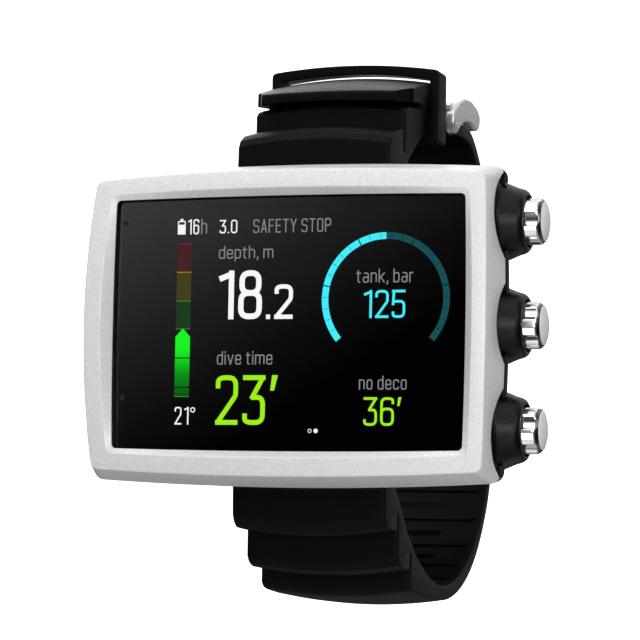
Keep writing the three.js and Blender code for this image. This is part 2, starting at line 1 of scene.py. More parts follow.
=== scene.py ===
# A wrist dive computer: a wide display case with three side buttons on a two-piece rubber strap.
#
# Frame: metres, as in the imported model. +X points to the buttons, +Y points from the case into the
# wrist, and +Z runs up the display. The builders below work in millimetres, with depth measured from
# the front of the glass, and point() turns (x, depth, z) into a place in the frame.
import math

import bmesh
import bpy
import json
from mathutils import Matrix, Vector
from mathutils.geometry import tessellate_polygon


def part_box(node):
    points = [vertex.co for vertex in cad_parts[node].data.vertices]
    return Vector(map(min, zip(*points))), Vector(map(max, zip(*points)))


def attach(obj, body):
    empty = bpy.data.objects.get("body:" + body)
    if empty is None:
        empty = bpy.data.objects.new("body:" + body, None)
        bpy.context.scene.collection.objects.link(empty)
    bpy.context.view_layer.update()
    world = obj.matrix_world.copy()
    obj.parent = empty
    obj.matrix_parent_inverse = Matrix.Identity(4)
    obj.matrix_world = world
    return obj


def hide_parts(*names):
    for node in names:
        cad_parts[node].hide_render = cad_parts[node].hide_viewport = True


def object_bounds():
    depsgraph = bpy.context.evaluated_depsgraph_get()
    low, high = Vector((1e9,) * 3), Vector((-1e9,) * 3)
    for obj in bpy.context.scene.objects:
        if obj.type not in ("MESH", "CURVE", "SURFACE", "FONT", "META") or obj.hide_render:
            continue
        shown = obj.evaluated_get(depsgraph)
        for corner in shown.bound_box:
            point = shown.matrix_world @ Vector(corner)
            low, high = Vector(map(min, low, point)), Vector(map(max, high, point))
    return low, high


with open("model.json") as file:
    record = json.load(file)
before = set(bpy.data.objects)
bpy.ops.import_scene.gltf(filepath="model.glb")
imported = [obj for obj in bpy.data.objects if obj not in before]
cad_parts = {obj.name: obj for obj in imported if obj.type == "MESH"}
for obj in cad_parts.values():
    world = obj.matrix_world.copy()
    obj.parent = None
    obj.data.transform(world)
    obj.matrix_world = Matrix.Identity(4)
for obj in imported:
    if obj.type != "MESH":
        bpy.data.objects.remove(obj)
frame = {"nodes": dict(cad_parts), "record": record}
cad_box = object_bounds()
nodes = frame["nodes"]
scene = bpy.context.scene

# ---------------------------------------------------------------- dimensions
MM = 0.001
GLASS_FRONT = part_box("display_glass")[0].y


def in_mm(place):
    """A place in the frame as (x, depth, z) in millimetres."""
    return place.x / MM, (place.y - GLASS_FRONT) / MM, place.z / MM


def low(node):
    return in_mm(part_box(node)[0])


def high(node):
    return in_mm(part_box(node)[1])


def middle(node):
    """The middle of a node's box as (x, depth, z)."""
    return [(a + b) / 2 for a, b in zip(low(node), high(node))]


CASE_DEPTH = high("back_cover")[1]
GAP = 0.3
BUTTON_HEIGHTS = [middle(f"button_cap_{i}")[2] for i in (1, 2, 3)]
BUTTON_DEPTH = middle("button_cap_1")[1]
CAP_BACK = low("button_cap_1")[0]
CAP_TOP = high("button_cap_1")[0]
PIN_DEPTH = middle("strap_pin_upper")[1]
PIN_Z = middle("strap_pin_upper")[2]
STRAP_HALF = high("upper_strap")[0]
BUCKLE_PIN_DEPTH = middle("buckle_pin")[1]
BUCKLE_PIN_Z = middle("buckle_pin")[2]
PIN_BORE = 1.15
STEM_BORE = 1.15
BUCKLE_BORE = 0.95
TURRET_RADIUS = 7.6
LUG_INNER = 15.75
LUG_OUTER = 19.6

GLASS = {"half_w": 34, "half_h": 23.33, "bow_w": 0.31, "bow_h": 0.34, "radius": 0.9}
LIP = {"half_w": 35, "half_h": 24.33, "bow_w": 1.0, "bow_h": 0.58, "radius": 1.3}
BROW = {
    "half_w": 37.55, "half_h": 27.25, "bow_w": 1.0, "bow_h": 1.1, "radius": 1.6, "left": 0.9,
}
BASE = {
    "half_w": 39.65, "half_h": 29.15, "bow_w": 0.9, "bow_h": 1.1, "radius": 2.0, "left": 0.45,
}
SKIRT_WALL = 1.1
CROWN = {"height": 4.96, "across": 0.00168, "down": 0.00375}
SCALLOP = {"radius": 10.5, "depth": 11.8, "half": 8.3, "start": 36.9, "end": 45}
STRAP_BOW = 1.3
STRAP_THICKNESS = 2.8
STRAP_SHARP = 50


def crown_depth(x, z):
    """How far the domed front of the bezel stands before the glass, as a depth."""
    return -(CROWN["height"] - CROWN["across"] * x * x - CROWN["down"] * z * z)


def smoothstep(value, start, end):
    t = min(max((value - start) / (end - start), 0), 1)
    return t * t * (3 - 2 * t)


def skirt_edge(_, z):
    """The depth of the bezel's lower edge: deeper along the top and bottom than at the sides."""
    return 4.6 + 1.8 * smoothstep(abs(z), 22, 28)


# ---------------------------------------------------------------- mesh helpers
def point(x, depth, z):
    return Vector((x * MM, GLASS_FRONT + depth * MM, z * MM))


def linked(name, data):
    """A new object in the scene."""
    obj = bpy.data.objects.new(name, data)
    scene.collection.objects.link(obj)
    return obj


def mesh_object(name, points, faces):
    """An object from points that are already in the frame."""
    mesh = bpy.data.meshes.new(name)
    mesh.from_pydata(points, [], faces)
    return linked(name, mesh)


def clean(obj, sharp=35):
    """Merges doubled points and turns faces outward; only edges that turn more than sharp stay crisp."""
    bm = bmesh.new()
    bm.from_mesh(obj.data)
    bmesh.ops.remove_doubles(bm, verts=bm.verts, dist=1e-6)
    bmesh.ops.dissolve_degenerate(bm, edges=bm.edges, dist=1e-7)
    bmesh.ops.recalc_face_normals(bm, faces=bm.faces)
    bm.to_mesh(obj.data)
    bm.free()
    obj.data.shade_smooth()
    obj.data.set_sharp_from_angle(angle=math.radians(sharp))
    obj.data.update()


def joined(name, objects):
    """Several meshes as one object."""
    bm = bmesh.new()
    for o in objects:
        bm.from_mesh(o.data)
    mesh = bpy.data.meshes.new(name)
    bm.to_mesh(mesh)
    bm.free()
    for o in objects:
        bpy.data.objects.remove(o)
    obj = linked(name, mesh)
    clean(obj)
    return obj


def boolean(obj, tool, operation, sharp):
    """Joins or cuts obj with tool, then drops the tool."""
    modifier = obj.modifiers.new("boolean", "BOOLEAN")
    modifier.operation = operation
    modifier.object = tool
    modifier.solver = "EXACT"
    bpy.context.view_layer.update()
    solved = obj.evaluated_get(bpy.context.evaluated_depsgraph_get())
    result = bpy.data.meshes.new_from_object(solved)
    obj.modifiers.remove(modifier)
    obj.data = result
    bpy.data.objects.remove(tool)
    clean(obj, sharp)


def cut(obj, tool, sharp=35):
    boolean(obj, tool, "DIFFERENCE", sharp)


def unite(obj, tool, sharp=35):
    boolean(obj, tool, "UNION", sharp)


def loft(name, rings, around=False, sharp=35):
    """A skin through equal rings, capped at both ends or with its last ring joined to its first."""
    size = len(rings[0])
    points = [point(*p) for ring in rings for p in ring]
    faces = []
    for i in range(len(rings) if around else len(rings) - 1):
        a, b = i * size, ((i + 1) % len(rings)) * size
        for j in range(size):
            k = (j + 1) % size
            faces.append((a + j, a + k, b + k, b + j))
    if not around:
        last = (len(rings) - 1) * size
        faces += [tuple(reversed(face)) for face in cap_faces(rings[0])]
        faces += [tuple(last + i for i in face) for face in cap_faces(rings[-1])]
    obj = mesh_object(name, points, faces)
    clean(obj, sharp)
    return obj


def cap_faces(ring):
    """Triangles that close a ring, found in the plane across its thinnest direction."""
    spans = [max(p[axis] for p in ring) - min(p[axis] for p in ring) for axis in range(3)]
    thin = spans.index(min(spans))
    u, v = [axis for axis in range(3) if axis != thin]
    return tessellate_polygon([[Vector((p[u], p[v], 0)) for p in ring]])


def circle(sides):
    """The (cosine, sine) of even steps round a circle."""
    turns = [2 * math.pi * i / sides for i in range(sides)]
    return [(math.cos(turn), math.sin(turn)) for turn in turns]


def turned(name, profile, depth, z, sides):
    """A body turned about a line along X; profile holds (radius, x) pairs."""
    return loft(name, [[(x, depth - r * c, z + r * s) for c, s in circle(sides)] for r, x in profile])


def post(name, profile, x, z, sides=48):
    """A body turned about a line along the depth; profile holds (radius, depth) pairs."""
    return loft(name, [[(x + r * c, d, z + r * s) for c, s in circle(sides)] for r, d in profile])


def rounded(points, radii, steps=4, closed=True, axes=2, limit=0.46, least=4):
    """Rounds the corners of a path that turn more than least degrees.

    A corner's angle lies in its first numbers, as many as axes, and any further ones are blended. A
    rounding takes up to limit of the path on each side of its corner.
    """
    if not hasattr(radii, "__len__"):
        radii = [radii] * len(points)
    out = []
    count = len(points)
    for i, p in enumerate(points):
        if not closed and i in (0, count - 1):
            out.append(tuple(p))
            continue
        before, after = points[i - 1], points[(i + 1) % count]
        u, v = [Vector([a - b for a, b in zip(q, p)][:axes]) for q in (before, after)]
        turn = math.pi - u.angle(v)
        if radii[i] <= 0 or turn < math.radians(least):
            out.append(tuple(p))
            continue
        reach = radii[i] * math.tan(turn / 2)
        a, b = min(reach / u.length, limit), min(reach / v.length, limit)
        for k in range(steps + 1):
            t = k / steps
            first, mid, last = (1 - t) ** 2, 2 * t * (1 - t), t * t
            out.append(tuple(
                first * (c + (l - c) * a) + mid * c + last * (c + (r - c) * b)
                for c, l, r in zip(p, before, after)
            ))
    return out


def area(outline):
    """The signed area inside an outline."""
    return sum(a[0] * b[1] - b[0] * a[1] for a, b in zip(outline, outline[1:] + outline[:1])) / 2


def inset(outline, by):
    """The outline shrunk by a margin; only the first two numbers of a point move."""
    side = 1 if area(outline) > 0 else -1
    count = len(outline)
    out = []
    for i, p in enumerate(outline):
        before, after = outline[i - 1], outline[(i + 1) % count]
        u = Vector((p[0] - before[0], p[1] - before[1])).normalized()
        v = Vector((after[0] - p[0], after[1] - p[1])).normalized()
        normal = Vector((-u.y - v.y, u.x + v.x))
        if normal.length < 1e-6:
            normal = Vector((-u.y, u.x))
        normal.normalize()
        reach = by / max(normal.dot(Vector((-u.y, u.x))), 0.5)
        out.append((p[0] + side * normal.x * reach, p[1] + side * normal.y * reach, *p[2:]))
    return out


def edge_steps(radius):
    """(distance from the end, inset) pairs that round the edge of an extruded body."""
    turns = [k / 4 * math.pi / 2 for k in range(5)]
    return [(radius * (1 - math.cos(t)), radius * (1 - math.sin(t))) for t in turns]


def plate(name, outline, start, end, radius, place_at):
    """An outline drawn out from start to end, with rounded edges; place_at(point, along) sets it down."""
    steps = edge_steps(radius)
    levels = [(start + d, i) for d, i in steps] + [(end - d, i) for d, i in reversed(steps)]
    return loft(name, [[place_at(p, along) for p in inset(outline, i)] for along, i in levels])


def plate_x(name, outline, x0, x1, radius):
    """An outline of (depth, z) drawn out along X."""
    return plate(name, outline, x0, x1, radius, lambda p, x: (x, p[0], p[1]))


def plate_y(name, outline, d0, d1, radius=0):
    """An outline of (x, z) drawn out along the depth."""
    return plate(name, outline, d0, d1, radius, lambda p, depth: (p[0], depth, p[1]))


def rectangle(half_w, half_h, radius=0.0, x=0.0, z=0.0, steps=6):
    corners = [(x + u * half_w, z + v * half_h) for u, v in ((-1, -1), (1, -1), (1, 1), (-1, 1))]
    return rounded(corners, radius, steps)


def block(name, half_x, d0, d1, z0, z1):
    return plate_y(name, rectangle(half_x, (z1 - z0) / 2, z=(z0 + z1) / 2), d0, d1)


def bar_x(name, radius, x0, x1, depth, z, sides=40, edge=0.0):
    """A round bar along X, with its ends chamfered by edge."""
    profile = [(radius - edge, x0), (radius, x0 + edge), (radius, x1 - edge), (radius - edge, x1)]
    return turned(name, profile if edge else profile[1:3], depth, z, sides)


def barrel(shape, side_steps=36, corner_steps=9, grow=0.0):
    """A rectangle whose sides bow outward, with round corners, as (x, z) pairs."""
    half_w, half_h = shape["half_w"] + grow, shape["half_h"] + grow
    radius = shape["radius"]
    wide, tall = (half_w, half_h, shape["bow_w"]), (half_h, half_w, shape["bow_h"])
    turns = [lambda u, v: (u, v), lambda u, v: (-v, u), lambda u, v: (-u, -v), lambda u, v: (v, -u)]
    out = []
    for quarter, turn in enumerate(turns):
        away, along, bow = tall if quarter % 2 else wide
        reach = along - radius
        for i in range(side_steps + 1):
            t = 2 * i / side_steps - 1
            out.append(turn(away + bow * (1 - t * t), t * reach))
        for i in range(1, corner_steps):
            angle = i / corner_steps * math.pi / 2
            out.append(turn(away - radius + radius * math.cos(angle), reach + radius * math.sin(angle)))
    return out


def rail(shape, depth, grow=0.0):
    """A barrel's line with its depths; a shape with a left value reaches that much further to -X."""
    depth_at = depth if callable(depth) else lambda x, z: depth
    wider = 1 + shape.get("left", 0) / shape["half_w"]
    line = [(x * wider if x < 0 else x, z) for x, z in barrel(shape, grow=grow)]
    return [(x, depth_at(x, z), z) for x, z in line]


def swept(name, rails, radii, closed):
    """A body whose cross-section joins the same point of each rail, with its long edges rounded."""
    sections = [
        rounded(stations, radii, closed=closed, axes=3, limit=0.45, least=0) for stations in zip(*rails)
    ]
    return loft(name, [list(ring) for ring in zip(*sections)], around=closed)


def bevel_where(obj, test, width):
    """Rounds the crisp edges whose both ends pass a test on (depth, z)."""
    bm = bmesh.new()
    bm.from_mesh(obj.data)
    chosen = [
        e for e in bm.edges
        if len(e.link_faces) == 2 and e.calc_face_angle(0) > math.radians(25)
        and all(test(*in_mm(v.co)[1:]) for v in e.verts)
    ]
    bmesh.ops.bevel(bm, geom=chosen, offset=width * MM, segments=2, profile=0.5, affect="EDGES",
                    clamp_overlap=True)
    bm.to_mesh(obj.data)
    bm.free()
    clean(obj)


# ---------------------------------------------------------------- materials
def new_material(name, **settings):
    """A node material, its tree and its Principled shader, with plain values set on the shader."""
    material = bpy.data.materials.new(name)
    material.use_nodes = True
    shader = material.node_tree.nodes["Principled BSDF"]
    for socket, value in settings.items():
        shader.inputs[socket.replace("_", " ")].default_value = value
    return material, material.node_tree, shader


def add_node(tree, kind, **values):
    node = tree.nodes.new(kind)
    for key, value in values.items():
        socket = key.replace("_", " ")
        if socket in node.inputs:
            node.inputs[socket].default_value = value
        else:
            setattr(node, key, value)
    return node


def ramp(tree, source, stops):
    """A colour ramp from (position, colour) stops, fed by a socket."""
    node = tree.nodes.new("ShaderNodeValToRGB")
    elements = node.color_ramp.elements
    while len(elements) < len(stops):
        elements.new(0.5)
    for element, (position, colour) in zip(elements, stops):
        element.position = position
        element.color = (*colour, 1)
    tree.links.new(source, node.inputs["Fac"])
    return node.outputs["Color"]


def object_place(tree):
    return tree.nodes.new("ShaderNodeTexCoord").outputs["Object"]


def mapped(tree, **values):
    """The object's own coordinates, stretched or turned."""
    mapping = add_node(tree, "ShaderNodeMapping", **values)
    tree.links.new(object_place(tree), mapping.inputs["Vector"])
    return mapping.outputs["Vector"]


def noise(tree, scale, detail, stretch=None):
    """Noise in the object's own coordinates; scale is in features per metre."""
    node = add_node(tree, "ShaderNodeTexNoise", Scale=scale, Detail=detail, Roughness=0.6)
    source = mapped(tree, Scale=stretch) if stretch else object_place(tree)
    tree.links.new(source, node.inputs["Vector"])
    return node.outputs["Fac"]


def along(tree, source, direction, start, end):
    """A value that rises from 0 to 1 along a direction, from start to end."""
    dot = add_node(tree, "ShaderNodeVectorMath", operation="DOT_PRODUCT")
    dot.inputs[1].default_value = direction
    tree.links.new(source, dot.inputs[0])
    spread = add_node(tree, "ShaderNodeMapRange", From_Min=start, From_Max=end)
    tree.links.new(dot.outputs["Value"], spread.inputs["Value"])
    return spread.outputs["Result"]


def bump(tree, shader, height, strength, distance):
    node = add_node(tree, "ShaderNodeBump", Strength=strength, Distance=distance)
    tree.links.new(height, node.inputs["Height"])
    tree.links.new(node.outputs["Normal"], shader.inputs["Normal"])


def vary(tree, shader, socket, source, stops):
    """Drives one of the shader's sockets through a ramp."""
    tree.links.new(ramp(tree, source, stops), shader.inputs[socket])


def grey(value):
    return (value, value, value)


def tinted(colour, factor):
    return tuple(min(1.0, c * factor) for c in colour)


def white_coat():
    """White paint with a fine metallic speck under a thin clear coat."""
    material, tree, shader = new_material(
        "white_coat", Metallic=0.12, Coat_Weight=0.25, Coat_Roughness=0.28)
    cells = add_node(tree, "ShaderNodeTexVoronoi", Scale=5200)
    tree.links.new(object_place(tree), cells.inputs["Vector"])
    speck = tree.nodes.new("ShaderNodeSeparateColor")
    tree.links.new(cells.outputs["Color"], speck.inputs["Color"])
    vary(tree, shader, "Base Color", speck.outputs["Red"], [
        (0.0, (0.66, 0.66, 0.68)), (0.45, (0.735, 0.735, 0.755)),
        (0.9, (0.775, 0.775, 0.795)), (1.0, (0.86, 0.86, 0.88)),
    ])
    vary(tree, shader, "Roughness", speck.outputs["Green"], [(0.0, grey(0.36)), (1.0, grey(0.5))])
    bump(tree, shader, noise(tree, 2600, 3), 0.12, 0.00002)
    return material


def mottled(name, base, rough=None, relief=None, **settings):
    """A grey finish whose tone, roughness and relief each follow a noise of their own.

    base and rough are (scale, detail, low, high); relief is (scale, detail, strength, distance).
    """
    material, tree, shader = new_material(name, **settings)
    for socket, spread in (("Base Color", base), ("Roughness", rough)):
        if spread:
            stops = [(0.3, grey(spread[2])), (0.7, grey(spread[3]))]
            vary(tree, shader, socket, noise(tree, *spread[:2]), stops)
    if relief:
        bump(tree, shader, noise(tree, *relief[:2]), *relief[2:])
    return material


def grained(name, colour, tints, roughs, scale, strength, distance, stretch=None, **settings):
    """A coloured finish whose tone, roughness and relief follow one grain."""
    material, tree, shader = new_material(name, **settings)
    grain = noise(tree, scale, 4, stretch)
    stops = [(at, tinted(colour, tint)) for at, tint in zip((0.3, 0.7), tints)]
    vary(tree, shader, "Base Color", grain, stops)
    vary(tree, shader, "Roughness", grain, [(at, grey(r)) for at, r in zip((0.3, 0.7), roughs)])
    bump(tree, shader, grain, strength, distance)
    return material


def metal(name, colour, roughs, scale, strength=0.05, metallic=1.0, stretch=None):
    return grained(name, colour, (0.9, 1.06), roughs, scale, strength, 0.00001, stretch, Metallic=metallic)


def plastic(name, colour, rough, scale):
    return grained(name, colour, (0.82, 1.18), (rough - 0.05, rough + 0.05), scale, 0.15, 0.00002)


def clear_glass():
    material, tree, shader = new_material(
        "clear_glass", Base_Color=(0.94, 0.95, 0.96, 1), Transmission_Weight=1.0, IOR=1.45,
        Specular_IOR_Level=0.3)
    vary(tree, shader, "Roughness", noise(tree, 60, 2), [(0.3, grey(0.004)), (0.8, grey(0.014))])
    return material


def board_green():
    """Circuit board with a grid of paler tracks."""
    material, tree, shader = new_material("board_green")
    bricks = add_node(
        tree, "ShaderNodeTexBrick", Scale=900.0, Color1=(0.012, 0.1, 0.035, 1),
        Color2=(0.01, 0.08, 0.03, 1), Mortar=(0.05, 0.2, 0.08, 1))
    tree.links.new(mapped(tree, Rotation=(math.pi / 2, 0, 0)), bricks.inputs["Vector"])
    tree.links.new(bricks.outputs["Color"], shader.inputs["Base Color"])
    vary(tree, shader, "Roughness", noise(tree, 1500, 3), [(0.3, grey(0.35)), (0.7, grey(0.5))])
    return material


WHITE = white_coat()
RUBBER = mottled(
    "black_rubber", (260, 5, 0.0013, 0.0026), (900, 4, 0.42, 0.52), (5200, 3, 0.22, 0.00003),
    Specular_IOR_Level=0.08)
COMPOSITE = mottled(
    "black_composite", (1500, 5, 0.0015, 0.0035), (2400, 4, 0.24, 0.34), (2300, 4, 0.6, 0.00008),
    Specular_IOR_Level=0.19)
CHROME = metal("polished_chrome", (0.93, 0.93, 0.94), (0.08, 0.11), 300, 0.002, 0.94)
# The cap's end face is pale and barely metallic, a painted bright reflection on the brushed steel; its
# chamfer is dark metal, a painted dark reflection.
CAP_FACE_PAINTED_BRIGHT_REFLECTION = metal("cap_face_painted_bright_reflection", (0.93, 0.93, 0.94), (0.3, 0.36), 500, 0.01, 0.08)
CAP_EDGE_PAINTED_DARK_REFLECTION = metal("cap_edge_painted_dark_reflection", (0.16, 0.16, 0.165), (0.16, 0.24), 500, 0.01)
STEEL = metal("plain_steel", (0.72, 0.72, 0.73), (0.26, 0.36), 1200, 0.02, 0.7, (0.3, 1, 1))
GOLD = metal("gold_plate", (0.83, 0.6, 0.22), (0.16, 0.26), 1500)
DARK = plastic("dark_plastic", (0.018, 0.018, 0.02), 0.45, 1200)

for_slot = {
    "white_coat": WHITE, "black_rubber": RUBBER, "black_composite": COMPOSITE, "dark_plastic": DARK,
    "plain_steel": STEEL, "polished_chrome": CHROME, "gold_plate": GOLD,
    "clear_glass": clear_glass(), "board_green": board_green(),
    "screen": mottled("screen_black", (4000, 2, 0.0015, 0.0025), Roughness=0.35, Specular_IOR_Level=0.15),
    "foil_metal": metal("foil_metal", (0.55, 0.56, 0.57), (0.3, 0.45), 500, 0.15),
    "brass_sheet": metal("brass_sheet", (0.62, 0.42, 0.14), (0.28, 0.4), 800),
    "spring_steel": metal("spring_steel", (0.5, 0.5, 0.51), (0.25, 0.35), 900),
    "ferrite": plastic("ferrite", (0.05, 0.046, 0.043), 0.7, 2000),
}
slot_of = {part["node"]: part["material_slot"] for part in frame["record"]["subparts"]}
for name, node in nodes.items():
    node.data.materials.clear()
    node.data.materials.append(for_slot[slot_of[name]])


def place(obj, body, material, *replaced, slot=None):
    """Gives a piece its finish and its body, and hides the nodes that it stands for."""
    if not obj.data.materials:
        obj.data.materials.append(material)
    if replaced:
        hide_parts(*replaced)
    slot or slot_of[replaced[0]]
    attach(obj, body)


# ---------------------------------------------------------------- camera
CAMERA = {"yaw": 18.17, "pitch": -4.54, "roll": 1.05, "distance": 0.5145, "lens": 157.65}
CAMERA_TARGET = point(6.53, 0, 0.505)


def make_camera():
    """The camera of the reference: to the right of the glass and a little below it."""
    data = bpy.data.cameras.new("camera")
    data.sensor_width = 36
    data.lens = CAMERA["lens"]
    data.clip_start = 0.01
    camera = linked("camera", data)
    yaw, pitch, roll = [math.radians(CAMERA[key]) for key in ("yaw", "pitch", "roll")]
    back = Vector((math.sin(yaw) * math.cos(pitch), -math.cos(yaw) * math.cos(pitch), math.sin(pitch)))
    right = (-back).cross(Vector((0, 0, 1))).normalized()
    up = right.cross(-back)
    side = math.cos(roll) * right + math.sin(roll) * up
    top = -math.sin(roll) * right + math.cos(roll) * up
    turn = Matrix((side, top, back)).transposed().to_4x4()
    camera.matrix_world = Matrix.Translation(CAMERA_TARGET + back * CAMERA["distance"]) @ turn
    scene.camera = camera


make_camera()


# ---------------------------------------------------------------- bezel, glass and case
def make_bezel():
    """A ring with a domed front, rounded brows and a skirt that the button turrets bite into."""
    skirt_top = {**BROW, "half_w": BROW["half_w"] - 0.95, "half_h": BROW["half_h"] - 0.9}
    rails = [
        rail(GLASS, -GAP),
        rail(GLASS, -2 * GAP),
        rail(LIP, crown_depth),
        rail(BROW, crown_depth),
        rail(BASE, skirt_edge),
        rail(BASE, skirt_edge, -SKIRT_WALL),
        rail(skirt_top, -GAP),
    ]
    bezel = swept("bezel_shell", rails, [0.05, 0.12, 0.28, 0.55, 0.3, 0.1, 0.3], True)
    radius, depth, start, end = [SCALLOP[key] for key in ("radius", "depth", "start", "end")]
    bites = [bar_x("tool", radius, start, end, depth, z, 96) for z in BUTTON_HEIGHTS]
    cut(bezel, joined("tools", bites), 30)

    def on_relief(d, z):
        return any(abs(math.hypot(d - depth, z - h) - radius) < 0.02 for h in BUTTON_HEIGHTS)

    bevel_where(bezel, on_relief, 0.16)
    place(bezel, "case", WHITE, "bezel")


def turret(z):
    """The raised collar round a button."""
    profile = [
        (TURRET_RADIUS, 34), (TURRET_RADIUS, 38.55), (7.4, 38.95), (7.12, 39.25), (6.98, 39.7), (6.2, 41.6),
        (6.03, 42.25), (5.85, 42.75), (5.55, 43.15), (5.2, 43.36), (4.95, 43.4),
    ]
    return turned("turret", profile, BUTTON_DEPTH, z, 96)


def turret_foot(z):
    """The fill between a turret and the bezel's scallop."""
    radius = SCALLOP["radius"] - GAP
    spread = math.asin(SCALLOP["half"] / radius)
    turns = [spread * (i / 20 - 1) for i in range(41)]
    outline = [(SCALLOP["depth"] - radius * math.cos(t), z + radius * math.sin(t)) for t in turns]
    return plate_x("foot", outline, 37.2, 39.0, 0.25)


def lugs(side):
    """The two round-ended lugs that hold a strap pin."""
    radius, root, z = 2.6, side * 20.6, side * PIN_Z
    turns = [math.radians(180 - 7.5 * i) for i in range(25)]
    outline = [(PIN_DEPTH + radius * math.cos(a), z + side * radius * math.sin(a)) for a in turns]
    outline += [(PIN_DEPTH + radius, root), (PIN_DEPTH - radius, root)]
    sides = (-LUG_OUTER, -LUG_INNER), (LUG_INNER, LUG_OUTER)
    return [plate_x("lug", outline, *ends, 0.3) for ends in sides]


def make_case():
    """The composite case: a shell, three turrets and two pairs of lugs, hollowed for what it holds."""
    def outline(half_w, half_h, radius):
        return {"half_w": half_w, "half_h": half_h, "bow_w": 0.9, "bow_h": 1.1, "radius": radius}

    def below_skirt(by):
        return lambda x, z: skirt_edge(x, z) + by

    rails = [
        rail(outline(36.2, 25.8, 2), 0),
        rail(outline(37.8, 27.45, 2.9), below_skirt(GAP)),
        rail(outline(40, 28.9, 2.3), below_skirt(GAP)),
        rail(outline(40, 28.9, 2.3), below_skirt(0.9)),
        rail(outline(38.5, 27.9, 4), 10),
        rail(outline(36.4, 26.5, 5), 14),
        rail(outline(34, 24.8, 6), 17),
        rail(outline(32.8, 23.8, 6), CASE_DEPTH),
    ]
    case = swept("case_shell", rails, [0, 0, 0.25, 0.5, 6, 5, 3, 0], False)
    for z in BUTTON_HEIGHTS:
        cut(case, bar_x("tool", TURRET_RADIUS - 0.1, 38.95, 45, BUTTON_DEPTH, z))
    for z in BUTTON_HEIGHTS:
        unite(case, turret_foot(z))
        unite(case, turret(z))
    cover = high("back_cover")
    beyond = CASE_DEPTH + 1
    for outline, d0, d1 in (
        # the seats of the glass and the display, then the room for the board and the battery
        (barrel({**GLASS, "half_w": 34.9, "half_h": 24.23}, 12, 5), -1, 2.3),
        (rectangle(33, 22.3, 1), 2, 4.4),
        (rectangle(35.6, 21.4, 0.4), 4.3, 12.2),
        (rectangle(33, 20.4, 2), 12.1, 13.8),
        # the opening in the back, clear of the cover's screws, and the cover's seat
        (rectangle(27, 12.5, 1), 13.7, beyond),
        (rectangle(21.5, 18, 1), 13.7, beyond),
        (rectangle(cover[0] + GAP, cover[2] + GAP, 4), 15.6, beyond),
        # the notches that the ends of the strap turn in
        (rectangle(LUG_INNER, 5.3, z=28.7), 11.2, 20),
        (rectangle(LUG_INNER, 5.3, z=-28.7), 11.2, 20),
    ):
        cut(case, plate_y("tool", outline, d0, d1))
    for side in (1, -1):
        for lug in lugs(side):
            unite(case, lug)
        cut(case, bar_x("tool", PIN_BORE, -LUG_OUTER - 0.1, LUG_OUTER + 0.1, PIN_DEPTH, side * PIN_Z))
    for z in BUTTON_HEIGHTS:
        # the pocket of the cap, the seat of the seal and the bore of the stem
        cut(case, turned("tool", [(4.75, 39), (4.75, 42.8), (5.0, 44)], BUTTON_DEPTH, z, 64))
        cut(case, bar_x("tool", 2.3, 37.8, 40, BUTTON_DEPTH, z))
        cut(case, bar_x("tool", STEM_BORE, 34, 40, BUTTON_DEPTH, z))
    place(case, "case", COMPOSITE, "case_body")


make_bezel()
make_case()


# ---------------------------------------------------------------- buttons
CAP_TURNS = [0, -0.79, 0.28]
CAP_RADIUS = 4.35
CAP_SIDES = 240
FLUTE = {"count": 5, "radius": 2.6, "depth": 0.5, "soft": 0.05, "from": 2}
EDGE_RISE, FACE_RISE = 0.3, 0.8


def fluted(r, angle):
    """The radius of a cap at an angle, where its flutes bite into a circle of radius r."""
    if r < FLUTE["from"]:
        return r
    reach = CAP_RADIUS + FLUTE["radius"] - FLUTE["depth"]
    step = 2 * math.pi / FLUTE["count"]
    off = (angle + step / 2) % step - step / 2
    across = reach * math.sin(off)
    if abs(across) >= FLUTE["radius"]:
        return r
    floor = reach * math.cos(off) - math.sqrt(FLUTE["radius"] ** 2 - across ** 2)
    blend = max(FLUTE["soft"] - abs(floor - r), 0) / FLUTE["soft"]
    return min(r, floor) - blend * blend * FLUTE["soft"] / 4


def make_cap(number, z, turn):
    """A fluted chrome cap with a chamfered shoulder and a softly domed, brushed end; the chamfer carries a
    painted dark reflection and the end a painted bright reflection.
    """
    shoulder = CAP_TOP - 1.5
    profile = [
        (1.15, CAP_BACK + 2.6), (1.15, CAP_BACK + 0.1),
        (CAP_RADIUS - 0.2, CAP_BACK), (CAP_RADIUS, CAP_BACK + 0.2),
    ] + [(r, shoulder + rise) for r, rise in (
        (CAP_RADIUS, -0.1), (CAP_RADIUS - 0.05, 0.04), (4.18, 0.26), (3.96, 0.5), (3.72, 0.76),
        (3.64, 0.83), (3.5, 0.9), (2.6, 1.2), (1.5, 1.42), (0.4, 1.5),
    )]
    angles = [2 * math.pi * i / CAP_SIDES for i in range(CAP_SIDES)]
    rings = []
    for r, x in profile:
        reach = [fluted(r, angle - turn) for angle in angles]
        turned_by = zip(reach, angles)
        rings.append([(x, BUTTON_DEPTH - q * math.cos(a), z + q * math.sin(a)) for q, a in turned_by])
    cap = loft(f"button_cap_{number}_fluted", rings, sharp=40)
    for material in (CHROME, CAP_EDGE_PAINTED_DARK_REFLECTION, CAP_FACE_PAINTED_BRIGHT_REFLECTION):
        cap.data.materials.append(material)
    # The chamfer band gets the painted dark reflection, the end face the painted bright reflection, and the
    # sides stay chrome.
    for polygon in cap.data.polygons:
        rise = polygon.center.x / MM - shoulder
        polygon.material_index = 2 if rise > FACE_RISE else 1 if rise > EDGE_RISE else 0
    place(cap, f"button_{number}", CHROME, f"button_cap_{number}")


for i, turn in enumerate(CAP_TURNS):
    make_cap(i + 1, BUTTON_HEIGHTS[i], turn)


# ---------------------------------------------------------------- strap
def bow_at(x):
    """How far the strap's outside stands out at x, above its edges."""
    return STRAP_BOW * (1 - (x / STRAP_HALF) ** 2)


